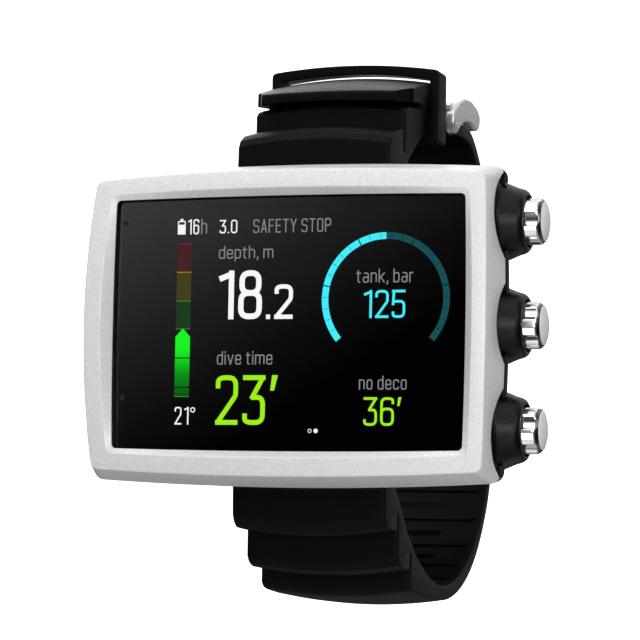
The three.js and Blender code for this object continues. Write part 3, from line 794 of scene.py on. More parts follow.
def strap_body(name, profile, side):
    """Draws a rounded side profile across the strap. Points are (depth, z, bow share, width share)."""
    edge, stations, half = 0.35, 26, STRAP_HALF
    steps = edge_steps(edge)
    across = [(-half + d, i) for d, i in steps]
    across += [((2 * k / stations - 1) * (half - edge), 0) for k in range(1, stations)]
    across += [(half - d, i) for d, i in reversed(steps)]
    rings = [
        [(x * width, depth, side * (z + share * bow_at(x))) for depth, z, share, width in inset(profile, i)]
        for x, i in across
    ]
    strap = loft(name, rings, sharp=STRAP_SHARP)
    cut(strap, bar_x("tool", PIN_BORE, -17, 17, PIN_DEPTH, side * PIN_Z), STRAP_SHARP)
    return strap


def eye(radius, depth, z, start, sweep):
    """The outline of a hinge eye round a pin, in degrees from the depth's direction."""
    turns = [math.radians(start - sweep * i / 12) for i in range(13)]
    return [(depth + radius * math.cos(t), z + radius * math.sin(t), 0, 1) for t in turns]


def filled(points):
    """Points with the bow share and width share that are left out."""
    return [(*p, *(0, 1)[len(p) - 2:]) for p in points]


HINGE_EYE = eye(2.4, PIN_DEPTH, PIN_Z, -30, 210)


def make_upper_strap():
    """The short strap: a rib, a second rib, and a third one whose lip hangs over the second."""
    ribs = filled([
        (13.8, 30.4, 0.2), (14, 35, 1), (14.8, 36.3, 1), (16.6, 37.4, 1), (22.9, 39, 1),
        (23, 34.6), (23.9, 34.6),
        (24, 42.5, 1), (24.9, 43.3, 1), (27.3, 44, 1), (33.2, 44.5, 1),
        (33.2, 45.3, 1, 1.05), (26, 44.6, 0.9, 1.05), (22.1, 44.1, 0.45, 1.05), (22.1, 46.2, 0.35, 1.05),
        (25.5, 47.1, 0.7, 1.05), (31.2, 48.6, 1, 1.05), (38.3, 50.42, 1, 1.05), (38.9, 49.95, 1, 1.05),
        (38.95, 49.2, 1, 1.05), (41.9, 48.9, 1, 1.05), (41.9, 44.3), (43, 44.2), (47.3, 44.1),
    ])
    inner = filled([(47, 41), (40, 40.9), (33, 37.8), (27, 33.6), (22, 29.6), (18.6, 26.8)])
    rib_radii = [
        0.5, 0.3, 0.4, 0.8, 0.4, 0.2, 0.2, 0.3, 0.4, 1.2, 0.3, 0.3,
        2, 0.5, 0.6, 3, 4, 0.6, 0.3, 0.2, 0.4, 0.3, 0.5, 1,
    ]
    buckle_eye = eye(1.8, BUCKLE_PIN_DEPTH, BUCKLE_PIN_Z, 150, 290)
    no_radii = [0] * len(HINGE_EYE)
    radii = no_radii + rib_radii + no_radii + [1, 3, 4, 4, 4, 2]
    strap = strap_body("upper_strap_ribbed", rounded(HINGE_EYE + ribs + buckle_eye + inner, radii), 1)
    cut(strap, bar_x("tool", BUCKLE_BORE, -17, 17, BUCKLE_PIN_DEPTH, BUCKLE_PIN_Z), STRAP_SHARP)
    cut(strap, block("tool", high("buckle_tongue")[0] + 0.5, 46.9, 53, 39, 47), STRAP_SHARP)
    for end in (-1, 1):
        corner = [(end * 13.2, 21.5), (end * 15.5, 27), (end * 17, 27), (end * 17, 21.5)]
        rings = [[(x, depth, z) for x, depth in corner] for z in (44.0, 52)]
        cut(strap, loft("tool", rings), STRAP_SHARP)
    place(strap, "upper_strap", RUBBER, "upper_strap")


def catmull(points, steps):
    """A centripetal Catmull-Rom curve through 2-D points."""
    pts = [Vector(p) for p in points]
    pts = [pts[0] * 2 - pts[1]] + pts + [pts[-1] * 2 - pts[-2]]
    out = []

    def mix(a, b, start, end, t):
        return a + (b - a) * ((t - start) / (end - start))

    for a, b, c, d in zip(pts, pts[1:], pts[2:], pts[3:]):
        t1 = math.sqrt((b - a).length)
        t2 = t1 + math.sqrt((c - b).length)
        t3 = t2 + math.sqrt((d - c).length)
        for k in range(steps):
            t = t1 + (t2 - t1) * k / steps
            p, q, r = mix(a, b, 0, t1, t), mix(b, c, t1, t2, t), mix(c, d, t2, t3, t)
            out.append(mix(mix(p, q, 0, t2, t), mix(q, r, t1, t3, t), t1, t2, t))
    return out + [pts[-2]]


class Run:
    """The long strap's outer line behind its ribs: under the wrist, round the back, up to the buckle."""

    ROUTE = [
        (50, 50.9), (60, 51.1), (69.9, 48.9), (79, 44.1), (86.1, 37.2), (91.6, 28.2), (95, 12), (95, -6),
        (91.6, -22), (86.5, -33), (80.4, -40), (73, -45.3), (66, -46.3), (60, -46), (54.4, -45),
    ]

    def __init__(self):
        self.points = catmull(self.ROUTE, 24)
        self.lengths = [0.0]
        for a, b in zip(self.points, self.points[1:]):
            self.lengths.append(self.lengths[-1] + (b - a).length)
        self.length = self.lengths[-1]

    def at(self, distance):
        """The point at a distance along the run, and the unit direction from there towards the wrist."""
        distance = min(max(distance, 0), self.length - 1e-6)
        i = next(k for k, far in enumerate(self.lengths[1:]) if far >= distance)
        a, b = self.points[i], self.points[i + 1]
        share = (distance - self.lengths[i]) / (self.lengths[i + 1] - self.lengths[i])
        ahead = self.points[min(i + 3, len(self.points) - 1)] - self.points[max(i - 2, 0)]
        along = ahead.normalized()
        return a + (b - a) * share, Vector((along.y, -along.x))


def slot_tool(half_x, thickness, height, centre, inward):
    """A round-ended bar through the strap, for a slot or a ridge."""
    along_run = Vector((-inward.y, inward.x))
    outline = rectangle(half_x, height / 2, height * 0.42, steps=4)
    rings = []
    for side in (-1, 1):
        middle_at = centre + inward * (side * thickness / 2)
        places = [(x, middle_at + along_run * v) for x, v in outline]
        rings.append([(x, q.x, -q.y) for x, q in places])
    return loft("tool", rings)


SLOTS = {"half": 7.2, "height": 1.65, "pitch": 8, "count": 13, "first": 21}
RIDGES = {"half": 13.6, "thickness": 1.5, "height": 1.3, "offset": 0.6, "sunk": 0.3, "tail": 18}


def make_lower_strap():
    """The long strap: three ribs under the case, then the perforated run round the back."""
    run = Run()
    count = 96
    stations = [run.at(run.length * i / count) for i in range(count + 1)]

    def crown_share(p):
        return smoothstep(76 - p.x, 0, 18) if p.y > 0 else 0

    ribs = filled([
        (14.6, 30.2, 0.2), (14.8, 35.2, 1), (15.6, 36.6, 1), (16.9, 37.6, 1), (22.7, 38, 1),
        (22.8, 34.8), (23.5, 34.8),
        (23.6, 43, 1), (24.6, 44.3, 1), (26.4, 45, 1), (31.4, 45.3, 1),
        (31.6, 42.2), (32.2, 42.2),
        (32.3, 48.2, 1), (33.4, 49.1, 1), (35.3, 49.5, 1), (42, 50.3, 0.7),
    ])
    outer = [(p.x, p.y, crown_share(p), 1) for p, _ in stations]
    inner = [(*(p + inward * STRAP_THICKNESS), 0, 1) for p, inward in stations]
    root = filled([(44, 46), (36, 42.3), (29, 37), (23, 31), (18.6, 26.8)])
    path = HINGE_EYE + ribs + outer + inner[::-1][:-1] + root
    radii = [0] * len(HINGE_EYE) + [0.5, 0.8, 1.2, 2, 0.5, 0.2, 0.2, 0.5, 1, 2, 0.5, 0.2, 0.2, 0.5, 1, 2, 3]
    radii += [0] * (len(outer) - 1) + [0.9, 0.9] + [0] * (len(inner) - 2) + [3, 4, 4, 4, 2]
    strap = strap_body("lower_strap_ribbed", rounded(path, radii), -1)
    slots, ridges = [], []
    for i in range(SLOTS["count"]):
        p, inward = run.at(SLOTS["first"] + i * SLOTS["pitch"])
        centre = p + inward * STRAP_THICKNESS / 2
        slots.append(slot_tool(SLOTS["half"], 3 * STRAP_THICKNESS, SLOTS["height"], centre, inward))
    for i in range(SLOTS["count"] + 1):
        distance = SLOTS["first"] + (i - 0.5) * SLOTS["pitch"] + RIDGES["offset"]
        if distance <= run.length - RIDGES["tail"]:
            p, inward = run.at(distance)
            centre = p + inward * (STRAP_THICKNESS - RIDGES["sunk"])
            ridges.append(slot_tool(RIDGES["half"], RIDGES["thickness"], RIDGES["height"], centre, inward))
    cut(strap, joined("tools", slots), STRAP_SHARP)
    unite(strap, joined("tools", ridges), STRAP_SHARP)
    place(strap, "lower_strap", RUBBER, "lower_strap")


KEEPER = {"band": 1.9, "edge": 0.3, "thin_back": 0.4, "lean": 0.012, "side_steps": 24}


def make_keeper():
    """A loop of flat band with soft edges that holds the strap's tail."""
    low_corner, high_corner = low("strap_keeper"), high("strap_keeper")
    band = KEEPER["band"]
    half_band, half_depth = band / 2, (high_corner[1] - low_corner[1]) / 2
    centre = (low_corner[1] + high_corner[1]) / 2
    middle_half, middle_bottom = high_corner[0] - half_band, low_corner[2] + 0.75
    middle_top = high_corner[2] - STRAP_BOW - half_band

    def line(out):
        """The band's line at a distance outside its middle, as (x, z); the top side bows."""
        w, b, t = middle_half + out, middle_bottom - out * 0.8, middle_top + out
        flat = rounded([(-w, b), (w, b), (w, t), (-w, t)], max(out, 0.25), 6)
        bowed = []
        for p, q in zip(flat, flat[1:] + flat[:1]):
            parts = KEEPER["side_steps"] if math.hypot(q[0] - p[0], q[1] - p[1]) > 3 else 1
            for k in range(parts):
                x, z = [a + (b - a) * k / parts for a, b in zip(p, q)]
                bowed.append((x, z + smoothstep(z, b + 2, t - 0.5) * STRAP_BOW * (1 - (x / w) ** 2)))
        return bowed

    def settled(d, out, x, z):
        """The height of a point of the band: its top thins towards the back from below, and it leans."""
        back = (d + half_depth) / (2 * half_depth)
        share = smoothstep(z, middle_top - 2, middle_top - 1)
        return z + KEEPER["thin_back"] * back * (half_band - out) / band * share - KEEPER["lean"] * x

    section = rounded([(u * half_depth, v * half_band) for u, v in ((-1, -1), (1, -1), (1, 1), (-1, 1))],
                      KEEPER["edge"])
    rings = [[(x, centre + d, settled(d, out, x, z)) for x, z in line(out)] for d, out in section]
    keeper = loft("strap_keeper_band", rings, around=True, sharp=STRAP_SHARP)
    place(keeper, "keeper", RUBBER, "strap_keeper")


make_upper_strap()
make_lower_strap()
make_keeper()


# ---------------------------------------------------------------- buckle and pins
def make_buckle():
    """Two rounded cheeks joined by a guide bar and a rest bar."""
    cheek = [
        (48.9, 41.9), (48, 43.6), (47.7, 45.4), (49, 46.9), (52.2, 48.7), (56.3, 50), (61, 50.2),
        (65.2, 49.4), (67.6, 48.2), (67.6, 46.4), (66.6, 45), (64.7, 44.5), (62, 45.2), (59.4, 45.5),
        (56.6, 45.2), (53.8, 44.4), (51.6, 43.1), (50.3, 42),
    ]
    outline = rounded(cheek, 2.2, 5)
    inner, outer = 16.3, high("buckle_frame")[0]
    buckle = plate_x("buckle_frame_bent", outline, inner, outer, 0.5)
    unite(buckle, plate_x("tool", outline, -outer, -inner, 0.5))
    for depth, z in ((49.3, 47.1), (65, 47.9)):
        unite(buckle, bar_x("tool", 1.0, -inner - 1, inner + 1, depth, z))
    cut(buckle, bar_x("tool", BUCKLE_BORE, -20, 20, BUCKLE_PIN_DEPTH, BUCKLE_PIN_Z))
    place(buckle, "buckle", STEEL, "buckle_frame")


def make_tongue():
    """A bent tongue with a round heel that turns on the buckle pin."""
    arm = [
        (50, 44), (53.4, 46.2), (63, 49), (65, 49.15), (67, 49), (67.4, 49.4), (66.6, 50), (62.8, 50.1),
        (52.6, 47.2), (49.6, 45),
    ]
    half = high("buckle_tongue")[0]
    outline = rounded(arm, [0.2, 4, 3, 2, 0.3, 0.3, 0.6, 4, 4, 0.2], 5)
    tongue = plate_x("buckle_tongue_bent", outline, -half, half, 0.35)
    unite(tongue, bar_x("tool", 1.5, -half, half, BUCKLE_PIN_DEPTH, BUCKLE_PIN_Z, edge=0.2))
    cut(tongue, bar_x("tool", BUCKLE_BORE, -7, 7, BUCKLE_PIN_DEPTH, BUCKLE_PIN_Z))
    place(tongue, "tongue", STEEL, "buckle_tongue")


def make_pin(node, body):
    """A straight pin with chamfered ends and a shallow centre dimple."""
    start, end = low(node)[0], high(node)[0]
    depth, z = middle(node)[1:]
    radius = (high(node)[2] - low(node)[2]) / 2
    edge = radius * 0.3
    half = [(0.1, 0.12), (0.35, 0.1), (0.45, 0), (0.7, 0), (1, edge)]
    profile = [(radius * share, start + d) for share, d in half]
    profile += [(radius * share, end - d) for share, d in reversed(half)]
    place(turned(f"{node}_turned", profile, depth, z, 40), body, STEEL, node)


make_buckle()
make_tongue()
make_pin("buckle_pin", "buckle")
make_pin("strap_pin_upper", "case")
make_pin("strap_pin_lower", "case")


# ---------------------------------------------------------------- back of the case
def centre_of(node):
    """A node's middle as (x, z)."""
    return middle(node)[::2]


def make_back():
    """The back cover with its screws, its charging contacts and the grille over the depth sensor."""
    corner = high("back_cover")
    front = low("back_cover")[1]
    outline = rectangle(corner[0], corner[2], 4, steps=12)
    cover = plate_y("back_cover_plate", outline, front, CASE_DEPTH, 0.35)
    sensor = centre_of("sensor_grille")
    grille_radius = (high("sensor_grille")[0] - low("sensor_grille")[0]) / 2
    cut(cover, post("hole", [(4.65, 15), (4.65, 19)], *sensor, 64))
    recess = [(grille_radius + 0.15, 17), (grille_radius + 0.15, 17.8), (grille_radius + 0.6, 18.3)]
    cut(cover, post("hole", recess, *sensor, 64))
    screws = [f"cover_screw_{i}" for i in (1, 2, 3, 4)]
    contacts = [f"charge_contact_{i}" for i in (1, 2, 3)]
    for node in screws:
        cut(cover, post("hole", [(1.05, 15), (1.05, 19)], *centre_of(node)))
        cut(cover, post("hole", [(2.05, 17), (2.05, 17.75), (2.5, 18.3)], *centre_of(node)))
    for node in contacts:
        cut(cover, post("hole", [(1.25, 15), (1.25, 17.75), (1.7, 18.3)], *centre_of(node)))
    place(cover, "case", COMPOSITE, "back_cover")

    grille = post("sensor_grille_disc", [
        (0.2, 17.15), (grille_radius, 17.15), (grille_radius, 17.75), (grille_radius - 0.2, 17.95),
        (0.2, 17.95),
    ], *sensor, 64)
    for c, s in circle(6):
        x, z = sensor[0] + 2.9 * c, sensor[1] + 2.9 * s
        cut(grille, post("hole", [(0.6, 16), (0.6, 17.75), (0.9, 18.3)], x, z, 24))
    cut(grille, post("hole", [(1.4, 17.7), (1.6, 18.3)], *sensor, 40))
    place(grille, "case", STEEL, "sensor_grille")

    for node in screws:
        head = post(f"{node}_head", [
            (0.2, 14), (0.8, 14.1), (0.9, 14.3), (0.9, 17.1), (1.9, 17.1), (1.9, 17.55), (1.78, 17.75),
            (1.4, 17.9), (0.2, 17.9),
        ], *centre_of(node))
        for half_w, half_h in ((1.2, 0.25), (0.25, 1.2)):
            cut(head, plate_y("hole", rectangle(half_w, half_h, 0.1, *centre_of(node), 3), 17.35, 18.6))
        place(head, "case", STEEL, node)
    for node in contacts:
        pad = post(f"{node}_pad", [
            (0.1, 15.8), (1.1, 15.8), (1.1, 17.7), (1.0, 17.85), (0.8, 17.9), (0.6, 17.86), (0.1, 17.8),
        ], *centre_of(node))
        place(pad, "case", GOLD, node)


make_back()


# ---------------------------------------------------------------- screen
SCREEN_DEPTH = 1.86
LAYER = 0.02
WINDOW = {"half_w": 27.9, "half_h": 21.0, "x": 3.7, "z": 0.38}
DARK_BASE = {"Base_Color": (0, 0, 0, 1), "Roughness": 0.6, "Specular_IOR_Level": 0.0}


def lit(name, colour, strength=1.0):
    """A lit part of the screen, with the faint unevenness of a pixel grid."""
    material, tree, shader = new_material(name, Emission_Strength=strength, **DARK_BASE)
    vary(tree, shader, "Emission Color", noise(tree, 6000, 1), [(0.2, tinted(colour, 0.93)), (0.8, colour)])
    return material


def fading(name, direction, start, end, stops):
    """A lit surface whose colour changes along a direction, between two distances in metres."""
    material, tree, shader = new_material(name, Emission_Strength=1.0, **DARK_BASE)
    vary(tree, shader, "Emission Color", along(tree, object_place(tree), direction, start, end), stops)
    return material


def painted_reflection_glow(name, level):
    """The unlit display with a painted reflection of a soft light from the upper left: a dim dark grey glow
    that is darkest at the lower right.
    """
    stops = [(0.0, 0.0006), (0.25, 0.005), (0.5, 0.0145), (0.75, 0.031), (1.0, 0.052)]
    greys = [(at, grey(value * level)) for at, value in stops]
    return fading(name, (-0.514, 0, 0.857), -0.014, 0.038, greys)


# The border print and the blank display glow with a painted reflection, brightest at the upper left.
BORDER_PAINTED_REFLECTION = painted_reflection_glow("screen_border_painted_reflection", 0.94)
FIGURE_FINISH = {
    "white": lit("lit_white", (0.98, 0.98, 1.0), 1.12),
    "lime": lit("lit_lime", (0.37, 0.93, 0.012), 1.08),
    "cyan": lit("lit_cyan", (0.06, 0.9, 1.0), 1.1),
    # the blank display's glow is a painted reflection, fading from the upper left
    "panel": painted_reflection_glow("lit_panel", 1.0),
    "arrow": fading("lit_arrow", (0, 0, 1), -0.0136, -0.0045, [
        (0.0, (0.003, 0.085, 0.006)), (0.45, (0.004, 0.3, 0.01)), (1.0, (0.012, 1.0, 0.02)),
    ]),
}
for name, colour in {
    "grey": (0.27, 0.275, 0.285), "teal": (0.01, 0.095, 0.105),
    "red": (0.36, 0.03, 0.04), "red_dim": (0.075, 0.02, 0.022),
    "yellow": (0.5, 0.37, 0.025), "olive_dim": (0.068, 0.058, 0.016),
    "green": (0.06, 0.36, 0.05), "green_dim": (0.016, 0.052, 0.016),
    "tick": (0.003, 0.028, 0.035), "tick_bright": (0.02, 0.36, 0.45),
}.items():
    FIGURE_FINISH[name] = lit(f"lit_{name}", colour)
screen_pieces = {}


def on_screen(finish, outline, depth=SCREEN_DEPTH):
    """Keeps a flat shape of (x, z) points to be drawn on the screen in one finish."""
    screen_pieces.setdefault((finish, depth), []).append(outline)


def stroke(path, width, finish, closed=False, depth=SCREEN_DEPTH):
    """A line of even width along (x, z) points, as a strip of quadrilaterals."""
    pts = [Vector(p) for p in path]
    count = len(pts)
    left, right = [], []
    for i, p in enumerate(pts):
        before = pts[i - 1] if (i > 0 or closed) else None
        after = pts[(i + 1) % count] if (i < count - 1 or closed) else None
        u = (p - before).normalized() if before is not None else (after - p).normalized()
        v = (after - p).normalized() if after is not None else u
        normal = Vector((-u.y - v.y, u.x + v.x)).normalized()
        reach = width / 2 / max(normal.dot(Vector((-u.y, u.x))), 0.35)
        left.append(p + normal * reach)
        right.append(p - normal * reach)
    for i in range(count if closed else count - 1):
        k = (i + 1) % count
        on_screen(finish, [left[i], left[k], right[k], right[i]], depth)


def arc(x, z, radius, start, end, steps):
    """Points along an arc, from one angle to another in degrees."""
    turns = [math.radians(start + (end - start) * k / steps) for k in range(steps + 1)]
    return [(x + radius * math.cos(t), z + radius * math.sin(t)) for t in turns]


def glyphs():
    """A condensed alphabet of even strokes: each character's width, and its lines with their rounding.

    Heights run from 0 at the foot to 1 at the top. A line that ends where it starts is a closed loop.
    """
    w, x, soft = 0.46, 0.72, 0.42

    def loop(z0, z1, x0=0.0, x1=w):
        return [(x0, z0), (x1, z0), (x1, z1), (x0, z1), (x0, z0)], soft

    def line(*ends):
        return list(zip(ends[::2], ends[1::2])), 0

    def curve(*points, rounding=soft):
        return list(points), rounding

    arch = curve((0, x * 0.6), (0, x), (w, x), (w, 0))
    tail = [(w, 0), (0, 0), (0, 0.2)]
    stem, short_stem, top_bar = line(0, 0, 0, 1), line(0, 0, 0, x), line(0, 1, w, 1)
    wide_e = w * 0.85
    e_bar = line(0, 0.52, w * 0.75, 0.52)
    return {
        "0": (w, [loop(0, 1)]),
        "1": (0.26, [line(0.26, 0, 0.26, 1), line(0.25, 0.975, 0.02, 0.89)]),
        "2": (w, [curve((0, 0.76), (0, 1), (w, 1), (w, 0.6), (0, 0)), line(0, 0, w, 0)]),
        "3": (w, [top_bar, line(w * 0.97, 0.99, w * 0.42, 0.57),
                  curve((w * 0.34, 0.56), (w, 0.56), *tail)]),
        "5": (w, [line(w, 1, 0, 1), line(0.03, 1, 0, 0.5), curve((0, 0.5), (0, 0.6), (w, 0.6), *tail)]),
        "6": (w, [loop(0, 0.6), curve((0, 0.4), (0, 1), (w, 1), (w, 0.79))]),
        "8": (w, [loop(0, 0.54), loop(0.54, 1, 0.02, w - 0.02)]),
        ".": (0.0, [line(0, -0.001, 0, 0.001)]),
        ",": (0.04, [line(0.05, 0.07, 0, -0.16)]),
        " ": (0.03, []),
        "a": (w, [curve((0.05, x), (w, x), (w, 0)), loop(0, x * 0.56)]),
        "b": (w, [stem, loop(0, x)]),
        "c": (w, [curve((w, x * 0.72), (w, x), (0, x), (0, 0), (w, 0), (w, x * 0.28))]),
        "d": (w, [line(w, 0, w, 1), loop(0, x)]),
        "e": (w, [line(0, x / 2, w, x / 2),
                  curve((w, x / 2), (w, x), (0, x), (0, 0), (w, 0), (w, x * 0.25))]),
        "h": (w, [stem, arch]),
        "i": (0.0, [short_stem, line(0, 0.93, 0, 1)]),
        "k": (w, [stem, line(w, x, 0.03, x * 0.42), line(0.15, x * 0.52, w, 0)]),
        "m": (0.8, [short_stem, curve((0, x * 0.6), (0, x), (0.4, x), (0.4, 0), rounding=soft * 0.8),
                    curve((0.4, x * 0.6), (0.4, x), (0.8, x), (0.8, 0), rounding=soft * 0.8)]),
        "n": (w, [short_stem, arch]),
        "o": (w, [loop(0, x)]),
        "p": (w, [line(0, -0.22, 0, x), loop(0, x)]),
        "r": (0.28, [short_stem, curve((0, x * 0.6), (0, x), (0.3, x))]),
        "t": (0.3, [curve((0.1, 0.95), (0.1, 0), (0.3, 0)), line(-0.02, x, 0.3, x)]),
        "v": (w, [line(0, x, w / 2, 0), line(w / 2, 0, w, x)]),
        "A": (w, [line(0, 0, w / 2, 1), line(w / 2, 1, w, 0), line(0.08, 0.26, w - 0.08, 0.26)]),
        "E": (wide_e, [line(wide_e, 1, 0, 1, 0, 0, wide_e, 0), e_bar]),
        "F": (wide_e, [line(wide_e, 1, 0, 1, 0, 0), e_bar]),
        "O": (w, [loop(0, 1)]),
        "P": (w, [stem, loop(0.46, 1)]),
        "S": (w, [curve((w, 0.8), (w, 1), (0, 1), (0, 0.52), (w, 0.5), *tail)]),
        "T": (w, [top_bar, line(w / 2, 1, w / 2, 0)]),
        "Y": (w, [line(0, 1, w / 2, 0.44), line(w, 1, w / 2, 0.44), line(w / 2, 0.5, w / 2, 0)]),
    }


GLYPHS = glyphs()


def write(text, x0, x1, z0, z1, weight, finish, gap):
    """Sets a word between two X positions, with its feet at z0 and its tall strokes up to z1."""
    if text.endswith("'"):
        width, height = weight * 1.25, (z1 - z0) * 0.31
        on_screen(finish, [
            (x1 - width, z1), (x1, z1), (x1 - width * 0.62, z1 - height), (x1 - width * 1.3, z1 - height),
        ])
        text, x1 = text[:-1], x1 - width * 1.3 - gap
    room = x1 - x0 - len(text) * weight - (len(text) - 1) * gap
    across = room / sum(GLYPHS[c][0] for c in text)
    rise = z1 - z0 - weight
    x = x0 + weight / 2
    for character in text:
        width, lines = GLYPHS[character]
        for line, soft in lines:
            closed = line[0] == line[-1]
            line = line[:-1] if closed else line
            path = [(x + u * across, z0 + weight / 2 + v * rise) for u, v in line]
            if character == ".":
                path = [(x, z0), (x, z0 + weight * 1.05)]
            elif not soft:
                path = capped(path, weight)
            stroke(rounded(path, soft * 0.46 * across, 6, closed), weight, finish, closed)
        x += width * across + weight + gap


def capped(path, weight):
    """A straight line made longer by half its own width at both ends."""
    a, b = Vector(path[0]), Vector(path[1])
    c, d = Vector(path[-2]), Vector(path[-1])
    start, end = (a - b).normalized() * weight / 2, (d - c).normalized() * weight / 2
    return [tuple(a + start)] + path[1:-1] + [tuple(d + end)]


def bar(x0, x1, z0, z1, finish, depth=SCREEN_DEPTH):
    on_screen(finish, [(x0, z0), (x1, z0), (x1, z1), (x0, z1)], depth)


def make_border():
    """The black print behind the glass: a border round the window, with two tinted sensor windows."""
    outer = barrel(GLASS, 12, 5, -0.25)
    inner = window_line(outer)
    rings = [[(x, depth, z) for x, z in line] for line, depth in (
        (inner, 1.64), (outer, 1.64), (outer, 1.7), (inner, 1.7),
    )]
    # The border print glows with a painted reflection of a soft light at the upper left.
    place(loft("glass_border_print", rings, around=True), "case", BORDER_PAINTED_REFLECTION, slot="screen")
    for name, z in (("upper", 19.16), ("lower", -13.78)):
        dot = post(f"sensor_window_{name}", [(0.55, 1.615), (0.6, 1.63)], -32.8, z, 32)
        place(dot, "case", DARK, slot="screen")


def window_line(outer):
    """Points of the window's outline, in the directions of the outer outline's points."""
    window = rectangle(WINDOW["half_w"], WINDOW["half_h"], 0.5, WINDOW["x"], WINDOW["z"])
    centre = Vector((WINDOW["x"], WINDOW["z"]))
    out = []
    for p in outer:
        ray = Vector(p) - centre
        hits = []
        for a, b in zip(window, window[1:] + window[:1]):
            edge, away = Vector(b) - Vector(a), Vector(a) - centre
            cross = ray.x * edge.y - ray.y * edge.x
            if abs(cross) < 1e-9:
                continue
            t = (away.x * edge.y - away.y * edge.x) / cross
            s = (away.x * ray.y - away.y * ray.x) / cross
            if t > 0 and -1e-6 <= s <= 1 + 1e-6:
                hits.append(t)
        out.append(tuple(centre + ray * min(hits)))
    return out


def make_screen():
    """The lit figures: each row holds a text, its left and right, its foot and top, and its strokes."""
    # The blank display behind the figures, with a painted reflection fading from the upper left to the
    # lower right.
    bar(-24.6, 32.0, -20.9, 21.7, "panel", SCREEN_DEPTH + LAYER)
    for row in (
        ("18", -13.95, -5.3, 0.87, 10.0, 1.06, "white", 0.88),
        (".2", -4.45, 0.75, 0.87, 7.3, 0.8, "white", 0.8),
        ("23'", -14.05, -1.9, -18.76, -9.55, 0.9, "lime", 0.95),
        ("125", 14.4, 22.4, 0.9, 6.05, 0.48, "cyan", 0.62),
        ("36'", 14.75, 21.95, -18.82, -13.6, 0.48, "lime", 0.6),
        ("3.0", -13.95, -10.45, 16.98, 19.5, 0.25, "white", 0.36),
        ("16", -20.3, -18.05, 16.9, 19.75, 0.26, "white", 0.34),
        ("h", -17.65, -16.45, 16.9, 19.75, 0.25, "grey", 0.3),
        ("21", -22.15, -19.35, -18.75, -15.45, 0.28, "white", 0.5),
        ("SAFETY STOP", -7.3, 7.9, 16.95, 19.5, 0.23, "grey", 0.34),
        ("depth, m", -14.0, -3.25, 12.2, 14.6, 0.23, "grey", 0.34),
        ("dive time", -13.95, -3.05, -7.58, -5.05, 0.23, "grey", 0.34),
        ("tank, bar", 13.0, 23.9, 7.4, 9.94, 0.23, "grey", 0.34),
        ("no deco", 13.8, 22.9, -12.22, -9.69, 0.23, "grey", 0.36),
    ):
        write(*row)
    stroke(arc(-18.55, -16.0, 0.4, 0, 342, 18), 0.2, "white", closed=True)

    # battery sign
    stroke([(-22.2, 17.0), (-20.85, 17.0), (-20.85, 19.35), (-22.2, 19.35)], 0.2, "white", closed=True)
    bar(-21.8, -21.25, 19.45, 19.85, "white")
    bar(-22.15, -20.9, 17.05, 18.75, "white")

    # ascent bar
    left, right = -22.3, -19.4
    for foot, top, finish in (
        (9.89, 15.05, "red_dim"), (14.97, 15.13, "red"), (4.43, 9.8, "olive_dim"),
        (9.68, 9.86, "yellow"), (-0.83, 4.3, "green_dim"), (4.23, 4.41, "green"),
        (-0.93, -0.77, "green"), (-13.58, -13.42, "green"),
        (-6.2, -2.33, "arrow"), (-11.7, -6.42, "arrow"), (-13.35, -11.92, "arrow"),
    ):
        bar(left, right, foot, top, finish)
    on_screen("arrow", [(left, -2.33), ((left + right) / 2, -0.75), (right, -2.33)])

    # tank gauge
    centre_x, centre_z, radius, width = 18.6, 4.45, 11.6, 1.25
    start, level, end, divisions = 220, 90, -40, 25
    stroke(arc(centre_x, centre_z, radius, level, start, 72), width, "cyan")
    stroke(arc(centre_x, centre_z, radius, level, end, 72), width, "teal")
    for i in range(1, divisions):
        angle, major = start - (start - end) / divisions * i, i % 5 == 0
        ray = Vector((math.cos(math.radians(angle)), math.sin(math.radians(angle))))
        reach = width / 2 if major else width * 0.36
        ends = [(centre_x + ray.x * r, centre_z + ray.y * r) for r in (radius - reach, radius + reach)]
        shade = "tick" if major or angle < level else "tick_bright"
        stroke(ends, 0.22 if major else 0.12, shade, depth=SCREEN_DEPTH - LAYER)

    # page marks
    stroke(arc(4.48, -19.81, 0.32, 0, 342, 18), 0.12, "white", closed=True)
    on_screen("white", arc(5.64, -19.8, 0.42, 0, 345, 22))

    for (finish, depth), shapes in sorted(screen_pieces.items()):
        points, faces = [], []
        for shape in shapes:
            faces.append(tuple(range(len(points), len(points) + len(shape))))
            points += [point(p[0], depth, p[1]) for p in shape]
        piece = mesh_object(f"screen_{finish}", points, faces)
        place(piece, "case", FIGURE_FINISH[finish], slot="screen")


make_border()
make_screen()


# ---------------------------------------------------------------- studio
STUDIO = {"below": 0.1, "wall": 2.2, "curve": 0.8, "height": 3}
LIGHTS = {
    # name: place, width, height, power
    "key": ((-0.25, -0.6, 0.8), 0.5, 0.5, 0.5),
    "left": ((-0.85, -0.5, 0.12), 0.4, 0.9, 0.12),
    "right": ((0.36, -0.92, 0.05), 0.45, 0.45, 2.9),
    "side": ((0.75, -0.55, 0.35), 0.35, 0.35, 1.0),
    "back": ((-0.5, 0.8, 0.5), 0.6, 0.6, 3),
    "low": ((0.15, -0.8, -0.5), 0.5, 0.5, 1.7),
    "top": ((0.0, 0.15, 0.9), 0.7, 0.7, 0.8),
}
# The sky's tone along the line from the camera's left front to the strap's right side, and its
# strength from the floor up: the glass mirrors the dark front, the strap's sides a soft grey.
SKY_LINE = (0.31, 0.95, -0.08)
SKY_TONE = [(0.009, 0), (0.035, 0.42), (0.4, 0.2), (0.53, 0.04), (0.7, 0.12), (0.88, 0.3), (0.975, 0.34)]
SKY_RISE = [(0.05, 0.6), (0.2, 0.1), (0.35, 0.04), (0.5, 0.17), (0.7, 0.25), (0.95, 1)]
SKY_POWER = 6.0


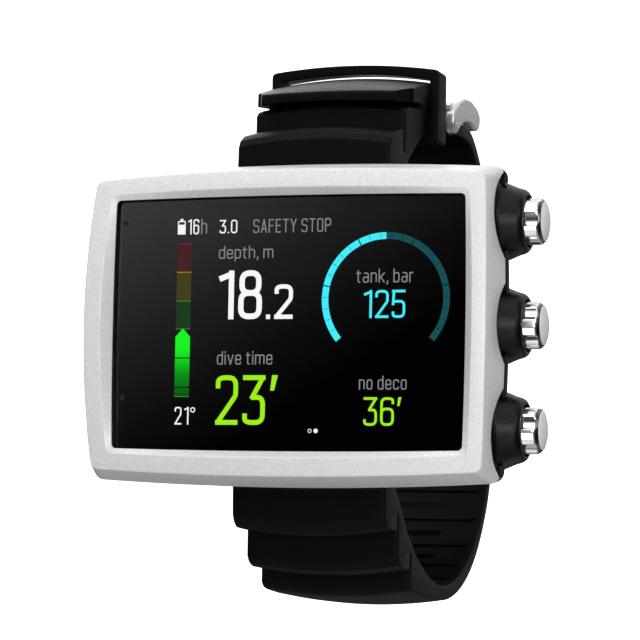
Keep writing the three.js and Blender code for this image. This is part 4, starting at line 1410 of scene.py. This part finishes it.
def make_backdrop():
    """A round floor that curves up into a wall on every side, in one sheet."""
    floor = cad_box[0].z - STUDIO["below"]
    wall, curve, steps, sides = STUDIO["wall"], STUDIO["curve"], 20, 96
    line = [(0.4, floor), (wall - curve, floor)]
    for i in range(1, steps + 1):
        angle = math.pi / 2 * i / steps
        line.append((wall - curve + curve * math.sin(angle), floor + curve * (1 - math.cos(angle))))
    line.append((wall, floor + STUDIO["height"]))
    points = [(0, 0, floor)] + [(r * c, r * s, z) for r, z in line for c, s in circle(sides)]
    faces = [(0, 1 + j, 1 + (j + 1) % sides) for j in range(sides)]
    for i in range(len(line) - 1):
        a, b = 1 + i * sides, 1 + (i + 1) * sides
        faces += [(a + j, b + j, b + (j + 1) % sides, a + (j + 1) % sides) for j in range(sides)]
    backdrop = mesh_object("backdrop", points, faces)
    backdrop.data.shade_smooth()
    backdrop.data.materials.append(mottled(
        "studio_paper", (40, 3, 0.9, 0.93), Roughness=0.95, Specular_IOR_Level=0.1,
        Emission_Color=(1, 1, 1, 1), Emission_Strength=1.0))
    backdrop.visible_diffuse = False
    backdrop.visible_glossy = False
    backdrop.visible_transmission = False
    backdrop.visible_shadow = False


def soft_light(name, place_at, width, height, power):
    """A soft rectangular light that faces the object."""
    data = bpy.data.lights.new(name, "AREA")
    data.shape = "RECTANGLE"
    data.size, data.size_y = width, height
    data.energy = power
    light = linked(name, data)
    light.location = place_at
    light.rotation_euler = (-Vector(place_at)).to_track_quat("-Z", "Y").to_euler()


def make_studio():
    world = bpy.data.worlds.new("studio")
    scene.world = world
    world.use_nodes = True
    tree = world.node_tree
    background = tree.nodes["Background"]
    sky = tree.nodes.new("ShaderNodeTexCoord").outputs["Generated"]
    tone = along(tree, sky, Vector(SKY_LINE).normalized(), -1, 1)
    rise = along(tree, sky, (0, 0, 1), -1, 1)
    power = add_node(tree, "ShaderNodeMath", operation="MULTIPLY")
    power.inputs[1].default_value = SKY_POWER
    tree.links.new(ramp(tree, rise, [(at, grey(v)) for at, v in SKY_RISE]), power.inputs[0])
    tree.links.new(ramp(tree, tone, [(at, grey(v)) for at, v in SKY_TONE]), background.inputs["Color"])
    tree.links.new(power.outputs["Value"], background.inputs["Strength"])
    for name, values in LIGHTS.items():
        soft_light(name, *values)
    scene.view_settings.view_transform = "Standard"


make_backdrop()
make_studio()
